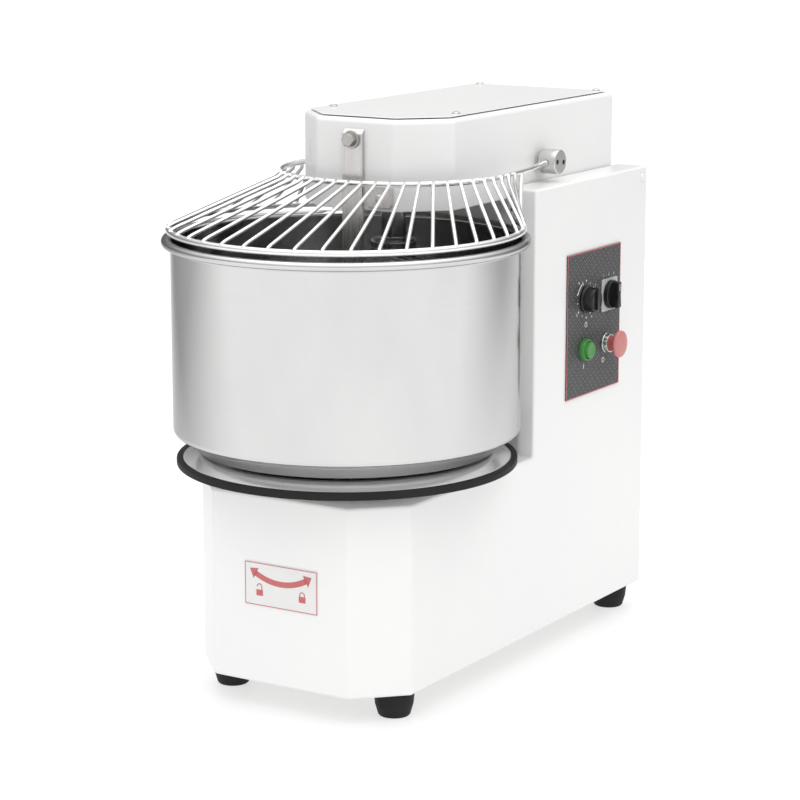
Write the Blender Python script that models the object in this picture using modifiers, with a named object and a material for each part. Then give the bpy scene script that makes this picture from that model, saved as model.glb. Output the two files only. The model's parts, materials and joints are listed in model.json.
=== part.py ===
"""Spiral dough mixer with a tilting head, a removable bowl and a lifting wire guard.

Metres, +Z up. The origin is on the floor under the middle of the whole machine. The bowl is at
the front (-Y), and the control panel is on the right side (+X).
"""

import math

import bmesh
import bpy
from mathutils import Vector

GAP = 0.0003

# Housing: base under the bowl, column behind it
HALF_WIDTH = 0.1264
WALL = 0.002
FRONT_Y = -0.2393
REAR_Y = 0.301
CHAMFER = 0.046
FOOT_HEIGHT = 0.027
BASE_TOP = 0.2205
COLUMN_FRONT_Y = 0.049
COLUMN_TOP = 0.5026
DECK_TOP = 0.4882
FOOT_X = 0.0985
FOOT_YS = {"front": -0.182, "rear": 0.278}

# Bowl and turntable
BOWL_Y = -0.115
BOWL_RADIUS = 0.1767
BOWL_WALL = 0.0015
RIM_Z = 0.463
BEAD_RADIUS = 0.0045
RIM_RADIUS = 0.186
BOWL_FLOOR = 0.252
TABLE_RADIUS = 0.1737
TABLE_LOW, TABLE_HIGH = 0.235, 0.2425
RECESS_RADIUS = RIM_RADIUS + 0.010
PEG_RING = 0.100
PEG_RADIUS = 0.004
LOCK_TURN = math.radians(25)

# Head, its hinge and the guard
HEAD_HALF = 0.0901
HEAD_FRONT_Y = -0.0994
HEAD_REAR_Y = 0.288
HEAD_LOW, HEAD_HIGH = 0.491, 0.5835
HEAD_CHAMFER = 0.044
HINGE_Y, HINGE_Z = 0.290, 0.491
HINGE_PIN = 0.005
HUB_Y, HUB_Z = 0.120, 0.524
HUB_RADIUS = 0.013
BREAKER_WIDTH = 0.024
HUB_IN, HUB_OUT = 0.0950, 0.1155
GUARD_RING = 0.178
GUARD_RING_Z = 0.475
GUARD_ROD = 0.0028
GUARD_OUTER_ROD = 0.0033
GUARD_WIRE = 0.0020
GUARD_WIRES = 31

# Drive: 9.525 mm chain
PITCH = 0.009525
MAIN_Y = 0.130
SPIRAL_Y = -0.026
TEETH = {"bowl_drive": 10, "bowl": 66, "head_drive": 22, "spiral": 25}
LOW_CHAIN_Z = 0.195
HIGH_CHAIN_Z = 0.538
CHAIN_HEIGHT = 0.006

# Control panel on the right side
PANEL_X = HALF_WIDTH + GAP
PANEL_FACE = PANEL_X + 0.0012
PANEL_Y = (0.116, 0.237)
PANEL_Z = (0.269, 0.4255)
TIMER_Y, TIMER_Z = 0.1575, 0.3735
SPEED_Y, SPEED_Z = 0.2098, 0.372
START_Y, STOP_Y = 0.1545, 0.2032
BUTTON_Z = 0.3193

ROUND = 32

PAINT = ("white_paint", (0.86, 0.86, 0.85), 0.28, 0.0)
STEEL = ("satin_steel", (0.62, 0.62, 0.61), 0.30, 1.0)
BRIGHT = ("bright_steel", (0.75, 0.75, 0.74), 0.18, 1.0)
ZINC = ("zinc_steel", (0.52, 0.52, 0.50), 0.40, 1.0)
IRON = ("cast_iron", (0.10, 0.11, 0.12), 0.60, 0.6)
RUBBER = ("black_rubber", (0.02, 0.02, 0.02), 0.70, 0.0)
PLASTIC = ("black_plastic", (0.015, 0.015, 0.016), 0.35, 0.0)
PANEL = ("panel_film", (0.05, 0.05, 0.055), 0.40, 0.0)
GREY = ("grey_plastic", (0.45, 0.46, 0.47), 0.45, 0.0)
GREEN = ("green_plastic", (0.02, 0.33, 0.08), 0.35, 0.0)
RED = ("red_plastic", (0.62, 0.03, 0.04), 0.35, 0.0)
LABEL = ("label_film", (0.85, 0.80, 0.80), 0.45, 0.0)


def clear_scene():
    for obj in list(bpy.data.objects):
        bpy.data.objects.remove(obj, do_unlink=True)


def collection(name, hidden=False):
    made = bpy.data.collections.new(name)
    bpy.context.scene.collection.children.link(made)
    made.hide_render = hidden
    return made


def material(finish):
    name, colour, roughness, metallic = finish
    found = bpy.data.materials.get(name)
    if found:
        return found
    made = bpy.data.materials.new(name)
    made.use_nodes = True
    shader = made.node_tree.nodes["Principled BSDF"]
    shader.inputs["Base Color"].default_value = (*colour, 1.0)
    shader.inputs["Roughness"].default_value = roughness
    shader.inputs["Metallic"].default_value = metallic
    return made


def place(name, mesh, finish, origin=(0.0, 0.0, 0.0), rotation=(0.0, 0.0, 0.0)):
    """A new object. Its mesh is written about its own origin. With no finish it is a cutter."""
    obj = bpy.data.objects.new(name, mesh)
    obj.location = origin
    obj.rotation_euler = rotation
    if finish is None:
        CUTTERS.objects.link(obj)
        obj.hide_render = True
        obj.display_type = "WIRE"
    else:
        PARTS.objects.link(obj)
        mesh.materials.append(material(finish))
    return obj


def block(name, low, high, finish=None, bevel=0.0):
    """A box between two world corners."""
    low, high = Vector(low), Vector(high)
    made = bmesh.new()
    bmesh.ops.create_cube(made, size=1.0)
    bmesh.ops.scale(made, vec=high - low, verts=made.verts)
    mesh = bpy.data.meshes.new(name)
    made.to_mesh(mesh)
    made.free()
    obj = place(name, mesh, finish, (low + high) / 2)
    if bevel:
        edges = obj.modifiers.new("edges", "BEVEL")
        edges.width = bevel
        edges.segments = 1
    return obj


def turned(name, profile, finish=None, origin=(0.0, 0.0, 0.0), along_x=0, steps=ROUND):
    """A turned shape about Z, or about X when along_x is 1 or -1. The profile runs down outside."""
    closed = min(r for r, _ in profile) > 1e-6
    points = [(r, 0.0, z) for r, z in profile]
    edges = [(i, i + 1) for i in range(len(points) - 1)]
    if closed:
        edges.append((len(points) - 1, 0))
    mesh = bpy.data.meshes.new(name)
    mesh.from_pydata(points, edges, [])
    obj = place(name, mesh, finish, origin, (0.0, along_x * math.pi / 2, 0.0))
    screw = obj.modifiers.new("turn", "SCREW")
    screw.steps = steps
    screw.render_steps = steps
    screw.use_merge_vertices = True
    screw.merge_threshold = 0.0001
    return obj


def rod(name, radius, low, high, finish=None, origin=(0.0, 0.0, 0.0), along_x=0, steps=24):
    """A plain round bar between two heights above its origin."""
    profile = [(0.0, high), (radius, high), (radius, low), (0.0, low)]
    return turned(name, profile, finish, origin, along_x, steps)


def ring(name, outer, inner, low, high, finish=None, origin=(0.0, 0.0, 0.0), along_x=0, steps=ROUND):
    profile = [(outer, high), (outer, low), (inner, low), (inner, high)]
    return turned(name, profile, finish, origin, along_x, steps)


def mesh_of(curve_object, name):
    """The curve's evaluated mesh, with its caps welded on."""
    bpy.context.view_layer.update()
    evaluated = curve_object.evaluated_get(bpy.context.evaluated_depsgraph_get())
    mesh = bpy.data.meshes.new_from_object(evaluated)
    mesh.name = name
    welded = bmesh.new()
    welded.from_mesh(mesh)
    bmesh.ops.remove_doubles(welded, verts=welded.verts, dist=0.00001)
    bmesh.ops.recalc_face_normals(welded, faces=welded.faces)
    welded.to_mesh(mesh)
    welded.free()
    mesh.materials.clear()
    return mesh


def slab(name, outlines, low, high, finish=None, origin=(0.0, 0.0)):
    """A flat outline with its holes, between two heights, about a vertical axis at the origin."""
    data = bpy.data.curves.new(name + "_outline", "CURVE")
    data.dimensions = "2D"
    data.fill_mode = "BOTH"
    data.extrude = (high - low) / 2
    for outline in outlines:
        spline = data.splines.new("POLY")
        spline.points.add(len(outline) - 1)
        for point, (x, y) in zip(spline.points, outline):
            point.co = (x, y, 0.0, 1.0)
        spline.use_cyclic_u = True
    guide = bpy.data.objects.new(name + "_guide", data)
    CUTTERS.objects.link(guide)
    mesh = mesh_of(guide, name)
    bpy.data.objects.remove(guide, do_unlink=True)
    return place(name, mesh, finish, (origin[0], origin[1], (low + high) / 2))


def tube(name, points, radius, finish=None, sides=1, origin=(0.0, 0.0, 0.0)):
    """A round wire through world points. It has 4 + 2 x sides sides."""
    data = bpy.data.curves.new(name + "_path", "CURVE")
    data.dimensions = "3D"
    data.bevel_depth = radius
    data.bevel_resolution = sides
    data.use_fill_caps = True
    spline = data.splines.new("POLY")
    spline.points.add(len(points) - 1)
    for target, source in zip(spline.points, points):
        target.co = (*(Vector(source) - Vector(origin)), 1.0)
    guide = bpy.data.objects.new(name + "_guide", data)
    CUTTERS.objects.link(guide)
    mesh = mesh_of(guide, name)
    bpy.data.objects.remove(guide, do_unlink=True)
    return place(name, mesh, finish, origin)


def cut(obj, *cutters):
    for cutter in cutters:
        modifier = obj.modifiers.new("cut_" + cutter.name, "BOOLEAN")
        modifier.operation = "DIFFERENCE"
        modifier.object = cutter


def join(obj, *others):
    for other in others:
        modifier = obj.modifiers.new("join_" + other.name, "BOOLEAN")
        modifier.operation = "UNION"
        modifier.object = other


def arc(radius, start, end, count, centre=(0.0, 0.0)):
    """Points on an arc. Angles are in radians, anticlockwise from +X."""
    step = (end - start) / (count - 1)
    angles = [start + step * i for i in range(count)]
    return [(centre[0] + radius * math.cos(a), centre[1] + radius * math.sin(a)) for a in angles]


def chamfered(half, front, rear, chamfer, inset=0.0):
    """The plan of a casing with two cut front corners, moved inwards by inset."""
    half -= inset
    front += inset
    rear -= inset
    chamfer -= inset * (2 - math.sqrt(2))
    right = [(half - chamfer, front), (half, front + chamfer), (half, rear)]
    return right + [(-x, y) for x, y in reversed(right)]


def column_plan(inset=0.0):
    """The column's plan, hollowed in front by an arc that clears the bowl's rim."""
    half, front, rear = HALF_WIDTH - inset, COLUMN_FRONT_Y + inset, REAR_Y - inset
    radius = RECESS_RADIUS + inset
    start = math.asin((front - BOWL_Y) / radius)
    hollow = arc(radius, math.pi - start, start, 17, (0.0, BOWL_Y))
    return [(half, rear), (-half, rear), (-half, front)] + hollow + [(half, front)]


def sprocket_radius(teeth):
    return PITCH / (2 * math.sin(math.pi / teeth))


def sprocket_outline(teeth):
    """Straight-sided teeth: one root point and two tip points each."""
    root = sprocket_radius(teeth) - 0.0022
    tip = sprocket_radius(teeth) + 0.0018
    turns = [(root, -0.25), (tip, 0.12), (tip, 0.38)]
    outline = []
    for tooth in range(teeth):
        for radius, share in turns:
            angle = (tooth + share) * 2 * math.pi / teeth
            outline.append((radius * math.cos(angle), radius * math.sin(angle)))
    return outline


def chain_loop(near_y, near_radius, far_y, far_radius):
    """The outline of a loop round two sprockets on the Y axis, the far one at greater Y."""
    lean = math.asin((near_radius - far_radius) / (far_y - near_y))
    near = arc(near_radius, math.pi - lean, 2 * math.pi + lean, 36, (0.0, near_y))
    far = arc(far_radius, lean, math.pi - lean, 16, (0.0, far_y))
    return near + far


def chain(name, near_y, near_teeth, far_y, far_teeth, z):
    clear = 0.0018 + 2 * GAP
    near, far = sprocket_radius(near_teeth) + clear, sprocket_radius(far_teeth) + clear
    outer = chain_loop(near_y, near + 0.005, far_y, far + 0.005)
    inner = chain_loop(near_y, near, far_y, far)
    half = CHAIN_HEIGHT / 2
    return slab(name, [outer, inner], z - half, z + half, ZINC)


def sprocket(name, teeth, bore, y, z):
    half = CHAIN_HEIGHT / 2 - 0.0005
    hole = arc(bore + GAP, 0.0, 2 * math.pi * 23 / 24, 24)
    return slab(name, [sprocket_outline(teeth), hole], z - half, z + half, ZINC, (0.0, y))


def make_base():
    plan = [chamfered(HALF_WIDTH, FRONT_Y, REAR_Y, CHAMFER)]
    inner = [chamfered(HALF_WIDTH, FRONT_Y, REAR_Y, CHAMFER, WALL)]
    housing = slab("base_housing", plan, FOOT_HEIGHT, BASE_TOP, PAINT)
    hollow = slab("base_hollow", inner, 0.0, BASE_TOP - WALL)
    shaft_hole = rod("bowl_shaft_hole", 0.029, 0.20, 0.24, None, (0.0, BOWL_Y, 0.0))
    into_column = slab("into_column", [column_plan(WALL)], BASE_TOP - 0.01, BASE_TOP + 0.01)
    inside = HALF_WIDTH - WALL
    rear = block("base_rear", (-inside, REAR_Y - 0.003, 0.0), (inside, REAR_Y + 0.01, BASE_TOP + 0.01))
    cut(housing, hollow, shaft_hole, into_column, rear)

    clear = WALL + GAP
    floor = [chamfered(HALF_WIDTH, FRONT_Y, REAR_Y - WALL, CHAMFER, clear)]
    slab("bottom_plate", floor, FOOT_HEIGHT, FOOT_HEIGHT + WALL, ZINC)
    for side, x in (("left", -FOOT_X), ("right", FOOT_X)):
        for end, y in FOOT_YS.items():
            top = FOOT_HEIGHT - GAP
            profile = [(0.0, top), (0.0205, top), (0.0195, 0.012), (0.0165, 0.002), (0.015, 0.0), (0.0, 0.0)]
            turned(f"foot_{end}_{side}", profile, RUBBER, (x, y, 0.0), 0, 32)
    label_y = FRONT_Y - GAP
    block("lock_label", (-0.0410, label_y - 0.0006, 0.108), (0.0458, label_y, 0.1525), LABEL)
    gland = [(0.0, 0.024), (0.006, 0.024), (0.009, 0.019), (0.0105, 0.008)]
    gland += [(0.013, 0.008), (0.013, 0.0), (0.0, 0.0)]
    turned("cable_gland", gland, PLASTIC, (-HALF_WIDTH - GAP, 0.255, 0.075), -1, 24)


def make_column():
    housing = slab("column_housing", [column_plan()], BASE_TOP + GAP, COLUMN_TOP, PAINT)
    hollow = slab("column_hollow", [column_plan(WALL)], 0.1, COLUMN_TOP - WALL)
    inside = HALF_WIDTH - WALL
    rear = block("column_rear", (-inside, REAR_Y - 0.003, 0.1), (inside, REAR_Y + 0.01, COLUMN_TOP - WALL))
    slot = HEAD_HALF + 0.0014
    head_way = block("head_way", (-slot, 0.0, DECK_TOP + GAP), (slot, REAR_Y + 0.01, COLUMN_TOP + 0.01))
    pin_way = rod("pin_way", HINGE_PIN + GAP, -0.15, 0.15, None, (0.0, HINGE_Y, HINGE_Z), 1)
    cut(housing, hollow, rear, head_way, pin_way)

    deck = slab("column_deck", [column_plan(WALL + GAP)], DECK_TOP - WALL, DECK_TOP, PAINT)
    deck_end = block("deck_end", (-0.2, 0.272, 0.4), (0.2, 0.4, 0.6))
    coupling_hole = rod("deck_hole", 0.026, 0.45, 0.52, None, (0.0, MAIN_Y, 0.0))
    cut(deck, deck_end, coupling_hole)

    edge = HALF_WIDTH - WALL - GAP
    cover = block("rear_cover", (-edge, REAR_Y - 0.002, FOOT_HEIGHT + 0.0025), (edge, REAR_Y, 0.497), PAINT)
    notch = block("cover_notch", (-0.092, 0.2, 0.472), (0.092, 0.4, 0.6))
    cut(cover, notch)
    pin_half = HALF_WIDTH + 0.0016
    rod("hinge_pin", HINGE_PIN, -pin_half, pin_half, ZINC, (0.0, HINGE_Y, HINGE_Z), 1)


def make_drive():
    """The parallel-shaft gear motor in the column, the main shaft and the lower chain."""
    motor_y = 0.225
    motor = [(0.0, 0.236), (0.056, 0.236), (0.056, 0.075), (0.046, 0.062), (0.0, 0.062)]
    turned("motor", motor, IRON, (0.0, motor_y, 0.0), 0, 40)
    gearbox = block("gearbox", (-0.055, 0.092, 0.2365), (0.055, 0.284, 0.315), IRON, 0.006)
    through = rod("gearbox_bore", 0.0125 + GAP, 0.2, 0.4, None, (0.0, MAIN_Y, 0.0))
    cut(gearbox, through)
    block("electrical_box", (0.078, 0.122, 0.335), (0.1235, 0.232, 0.420), GREY, 0.002)

    rod("main_shaft", 0.0125, 0.170, 0.4855, ZINC, (0.0, MAIN_Y, 0.0))
    sprocket("bowl_drive_sprocket", TEETH["bowl_drive"], 0.0125, MAIN_Y, LOW_CHAIN_Z)
    lower = rod("coupling_lower", 0.022, 0.4858, 0.4900, ZINC, (0.0, MAIN_Y, 0.0), 0, 32)
    tongue = block("tongue", (-0.019, MAIN_Y - 0.004, 0.488), (0.019, MAIN_Y + 0.004, 0.4942))
    join(lower, tongue)
    chain("lower_chain", BOWL_Y, TEETH["bowl"], MAIN_Y, TEETH["bowl_drive"], LOW_CHAIN_Z)


def make_turntable():
    axis = (0.0, BOWL_Y, 0.0)
    profile = [(0.046, 0.2265), (0.046, 0.2208), (0.0285, 0.2208), (0.0285, 0.2010)]
    profile += [(0.0128, 0.2010), (0.0128, 0.2265)]
    turned("bowl_bearing", profile, IRON, axis)
    flange_top = TABLE_LOW - GAP
    shaft = [(0.0, flange_top), (0.035, flange_top), (0.035, 0.2285), (0.0125, 0.2285)]
    shaft += [(0.0125, 0.178), (0.0, 0.178)]
    turned("bowl_shaft", shaft, ZINC, axis)
    sprocket("bowl_sprocket", TEETH["bowl"], 0.0125, BOWL_Y, LOW_CHAIN_Z)

    inner = TABLE_RADIUS - 0.0035
    plate = rod("turntable_plate", inner, TABLE_LOW, TABLE_HIGH, STEEL, axis, 0, 64)
    for index in range(3):
        angle = math.radians(90 + 120 * index)
        spot = (PEG_RING * math.cos(angle), BOWL_Y + PEG_RING * math.sin(angle), 0.0)
        join(plate, rod(f"peg_{index}", PEG_RADIUS, 0.240, 0.2490, None, spot, 0, 12))
    ring("turntable_edge", TABLE_RADIUS, inner + GAP, TABLE_LOW, TABLE_HIGH, RUBBER, axis, 0, 64)


def make_bowl():
    axis = (0.0, BOWL_Y, 0.0)
    inner = BOWL_RADIUS - BOWL_WALL
    floor = BOWL_FLOOR + BOWL_WALL
    bead = arc(BEAD_RADIUS, math.pi / 2, -math.pi / 2, 7, (RIM_RADIUS - BEAD_RADIUS, RIM_Z))
    profile = [(0.0, floor), (0.1520, floor), (0.1690, 0.2682), (0.1733, 0.2720), (inner, 0.2790)]
    profile += [(inner, RIM_Z + BEAD_RADIUS)] + bead
    profile += [(BOWL_RADIUS, RIM_Z - BEAD_RADIUS - 0.001), (BOWL_RADIUS, 0.2785), (0.1747, 0.2710)]
    profile += [(0.1702, 0.2668), (0.1526, BOWL_FLOOR), (0.0, BOWL_FLOOR)]
    turned("bowl", profile, STEEL, axis, 0, 60)

    foot = ring("bowl_foot", 0.116, 0.084, TABLE_HIGH + GAP, BOWL_FLOOR - GAP, ZINC, axis)
    half = PEG_RADIUS + 0.0008
    for index in range(3):
        middle = math.radians(90 + 120 * index)
        start, end = middle - 0.06, middle + LOCK_TURN + 0.06
        outer = arc(PEG_RING + half, start, end, 9)
        slot = outer + arc(PEG_RING - half, end, start, 9)
        cut(foot, slab(f"lock_slot_{index}", [slot], 0.2, 0.3, None, (0.0, BOWL_Y)))


def make_head():
    plan = [chamfered(HEAD_HALF, HEAD_FRONT_Y, HEAD_REAR_Y, HEAD_CHAMFER)]
    inner = [chamfered(HEAD_HALF, HEAD_FRONT_Y, HEAD_REAR_Y, HEAD_CHAMFER, WALL)]
    mouth = [chamfered(HEAD_HALF, HEAD_FRONT_Y, HEAD_REAR_Y, HEAD_CHAMFER, 0.016)]
    housing = slab("head_housing", plan, HEAD_LOW, HEAD_HIGH, PAINT)
    hollow = slab("head_hollow", inner, 0.4, HEAD_HIGH - WALL)
    top_hole = slab("head_top_hole", mouth, 0.5, 0.7)
    pivots = rod("pivot_way", 0.0043, -0.15, 0.15, None, (0.0, HUB_Y, HUB_Z), 1)
    cut(housing, hollow, top_hole, pivots)
    chamfer_x = HEAD_CHAMFER / 2 - HEAD_HALF
    chamfer_y = HEAD_FRONT_Y + HEAD_CHAMFER / 2
    low = (chamfer_x - 0.003, chamfer_y - 0.01, 0.529)
    vent = block("vent_slot", low, (chamfer_x + 0.003, chamfer_y + 0.01, 0.5555))
    vent.rotation_euler = (0.0, 0.0, -math.pi / 4)
    cut(housing, vent)
    cut(housing, block("pin_gap", (-0.2, HINGE_Y - 0.007, 0.47), (0.2, 0.31, HINGE_Z + 0.007)))
    for side, x in (("left", -0.070), ("right", 0.070)):
        gap = block(f"hinge_gap_{side}", (x - 0.0115, 0.277, 0.47), (x + 0.0115, 0.31, 0.5015))
        cut(housing, gap)

    floor_plan = [chamfered(HEAD_HALF, HEAD_FRONT_Y, 0.279, HEAD_CHAMFER, WALL + GAP)]
    floor = slab("head_floor", floor_plan, HEAD_LOW + GAP, HEAD_LOW + 0.0043, ZINC)
    spiral_hole = rod("spiral_hole", 0.014, 0.4, 0.6, None, (0.0, SPIRAL_Y, 0.0))
    input_hole = rod("input_hole", 0.026, 0.4, 0.6, None, (0.0, MAIN_Y, 0.0))
    cut(floor, spiral_hole, input_hole)

    lid_plan = [chamfered(HEAD_HALF, HEAD_FRONT_Y, HEAD_REAR_Y, HEAD_CHAMFER, 0.006)]
    lid_low, lid_high = HEAD_HIGH + GAP, HEAD_HIGH + 0.0015
    slab("head_lid", lid_plan, lid_low, lid_high, PAINT)
    for end, y in (("front", -0.025), ("rear", 0.276)):
        for side, x in (("left", -0.074), ("right", 0.074)):
            head = [(0.0, 0.0019), (0.0028, 0.0015), (0.0042, 0.0), (0.0, 0.0)]
            turned(f"lid_screw_{end}_{side}", head, ZINC, (x, y, lid_high + GAP), 0, 16)


def make_hinge_and_pivots():
    for side, x in (("left", -0.070), ("right", 0.070)):
        centre = (x, HINGE_Y, HINGE_Z)
        knuckle = rod(f"hinge_bracket_{side}", 0.009, -0.0105, 0.0105, ZINC, centre, 1, 24)
        leaf_low = HEAD_LOW + 0.0046
        leaf = block(f"leaf_{side}", (x - 0.0105, 0.235, leaf_low), (x + 0.0105, HINGE_Y, leaf_low + 0.0045))
        bore = rod(f"knuckle_bore_{side}", HINGE_PIN + GAP, -0.02, 0.02, None, centre, 1, 24)
        join(knuckle, leaf)
        cut(knuckle, bore)
    wall = HEAD_HALF - WALL - GAP
    for side, sign in (("left", -1), ("right", 1)):
        centre = (0.0, HUB_Y, HUB_Z)
        pin = [(0.0, 0.113), (0.0040, 0.113), (0.0040, wall), (0.0075, wall)]
        pin += [(0.0075, wall - 0.005), (0.0, wall - 0.005)]
        turned(f"guard_pin_{side}", pin, ZINC, centre, sign, 24)
        hub = [
            (0.0, HUB_OUT), (HUB_RADIUS - 0.001, HUB_OUT), (HUB_RADIUS, HUB_OUT - 0.001),
            (HUB_RADIUS, HUB_IN),
            (0.0043, HUB_IN), (0.0043, 0.1133), (0.0, 0.1133),
        ]
        steel = turned(f"guard_hub_{side}", hub, STEEL, centre, sign, 32)
        middle = (HUB_IN + HUB_OUT) / 2
        mouth = (sign * middle, HUB_Y - 0.0062, HUB_Z)
        socket = rod(f"rod_socket_{side}", GUARD_ROD + GAP, 0.0, 0.01, None, mouth, 0, 12)
        socket.rotation_euler = (math.pi / 2, 0.0, 0.0)
        cut(steel, socket)


def make_breaker():
    """The flat dough breaker, the bolt that holds it, and the switch plate beside it."""
    back = HEAD_FRONT_Y - GAP
    front = back - 0.005
    half = BREAKER_WIDTH / 2
    block("breaker_bar", (-half, front, 0.275), (half, back, 0.573), STEEL, 0.001)
    bolt = [(0.0, 0.0085), (0.0060, 0.0085), (0.0070, 0.0075), (0.0070, 0.0020), (0.0092, 0.0018)]
    bolt += [(0.0092, 0.0), (0.0, 0.0)]
    made = turned("breaker_bolt", bolt, ZINC, (0.0, front - GAP, 0.562), 0, 12)
    made.rotation_euler = (math.pi / 2, 0.0, 0.0)
    block("guard_switch", (0.0155, back - 0.004, 0.4945), (0.0458, back, 0.5155), STEEL, 0.001)


def make_head_drive():
    axis = (0.0, MAIN_Y, 0.0)
    upper = turned(
        "coupling_upper",
        [(0.0, 0.562), (0.010, 0.562), (0.010, 0.4995), (0.022, 0.4995), (0.022, 0.4905), (0.0, 0.4905)],
        ZINC, axis, 0, 32,
    )
    slot = block("tongue_slot", (-0.03, MAIN_Y - 0.0044, 0.48), (0.03, MAIN_Y + 0.0044, 0.4946))
    cut(upper, slot)
    floor_top = HEAD_LOW + 0.0046
    bearing = [(0.034, 0.520), (0.034, floor_top), (0.0265, floor_top), (0.0265, 0.503)]
    bearing += [(0.0103, 0.503), (0.0103, 0.520)]
    turned("input_bearing", bearing, IRON, axis)
    sprocket("head_drive_sprocket", TEETH["head_drive"], 0.010, MAIN_Y, HIGH_CHAIN_Z)
    chain("upper_chain", SPIRAL_Y, TEETH["spiral"], MAIN_Y, TEETH["head_drive"], HIGH_CHAIN_Z)
    sprocket("spiral_sprocket", TEETH["spiral"], 0.0125, SPIRAL_Y, HIGH_CHAIN_Z)
    axis = (0.0, SPIRAL_Y, 0.0)
    ring("spiral_bearing", 0.036, 0.0125 + GAP, floor_top, 0.530, IRON, axis)
    shaft = [
        (0.0, 0.560), (0.0125, 0.560), (0.0125, 0.4525), (0.024, 0.4525), (0.024, 0.4450), (0.0, 0.4450),
    ]
    turned("spiral_shaft", shaft, STEEL, axis)


def spiral_path():
    """A rod that leaves the flange, winds down once and a quarter and ends near the bowl's floor."""
    reach, high, low = 0.058, 0.428, 0.272
    arm = [(0.0, high + 0.005), (0.012, high + 0.003), (0.034, high)]
    points = [Vector((r, SPIRAL_Y, z)) for r, z in arm]
    turns, count = 1.25, 40
    for index in range(count + 1):
        share = index / count
        angle = 2 * math.pi * turns * share
        radius = reach - 0.022 * max(0.0, share - 0.8) / 0.2
        drop = high - (high - low) * min(1.0, share / 0.92) ** 0.95
        points.append(Vector((radius * math.cos(angle), SPIRAL_Y + radius * math.sin(angle), drop)))
    return points


def make_spiral():
    axis = (0.0, SPIRAL_Y, 0.0)
    flange = rod("spiral_hook", 0.024, 0.4375, 0.4447, STEEL, axis, 0, 24)
    join(flange, tube("spiral_rod", spiral_path(), 0.0072, None, 1, axis))


def guard_inner():
    """The inner rod: from the left hub, round the front of the head, to the right hub."""
    middle = (HUB_IN + HUB_OUT) / 2
    wide, front, shoulder = 0.120, -0.131, -0.026
    depth = shoulder - front
    right = [(middle, HUB_Y - 0.0072), (middle, HUB_Y - 0.020), (wide - 0.004, 0.055), (wide, 0.010)]
    turn = [(x, shoulder + (y * depth / wide)) for x, y in arc(wide, 0.0, -math.pi, 21)]
    flat = right + turn + [(-x, y) for x, y in reversed(right)]
    return [(x, y, HUB_Z - 0.002 * (HUB_Y - y) / (HUB_Y - front)) for x, y in flat]


def guard_outer():
    """The outer ring over the bowl's rim. Its two ends turn up to meet the inner rod."""
    half_turn = math.radians(138)
    flat = arc(GUARD_RING, -math.pi / 2 + half_turn, -math.pi / 2 - half_turn, 49, (0.0, BOWL_Y))
    ring_points = [(x, y, GUARD_RING_Z) for x, y in flat]
    x, y = flat[0]
    rise = [(x - 0.001, y + 0.008, GUARD_RING_Z + 0.0025), (x - 0.001, y + 0.012, GUARD_RING_Z + 0.010)]
    side = rise + [(0.1185, y + 0.012, HUB_Z - 0.0006)]
    return list(reversed(side)) + ring_points + [(-px, py, pz) for px, py, pz in side]


def wire_ends():
    """Outer ends evenly round the ring, inner ends evenly along the rod's bend."""
    inner = [Vector(p) for p in guard_inner()[3:-3]]
    lengths = [0.0]
    for near, far in zip(inner, inner[1:]):
        lengths.append(lengths[-1] + (far - near).length)
    half_turn = math.radians(129.4)
    for index in range(GUARD_WIRES):
        share = index / (GUARD_WIRES - 1)
        wanted = lengths[-1] * share
        place_at = max(i for i, length in enumerate(lengths[:-1]) if length <= wanted + 1e-9)
        part = (wanted - lengths[place_at]) / (lengths[place_at + 1] - lengths[place_at])
        start = inner[place_at].lerp(inner[place_at + 1], part)
        angle = -math.pi / 2 + half_turn - 2 * half_turn * share
        end = Vector((GUARD_RING * math.cos(angle), BOWL_Y + GUARD_RING * math.sin(angle), GUARD_RING_Z))
        yield start, end


def make_guard():
    pivot = (0.0, HUB_Y, HUB_Z)
    grid = tube("guard_grid", guard_inner(), GUARD_ROD, BRIGHT, 1, pivot)
    join(grid, tube("outer_rod", guard_outer(), GUARD_OUTER_ROD, None, 1, pivot))
    for index, (start, end) in enumerate(wire_ends()):
        along = (end - start).normalized() * 0.0008
        join(grid, tube(f"wire_{index}", [start - along, end + along], GUARD_WIRE, None, 0, pivot))


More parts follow.
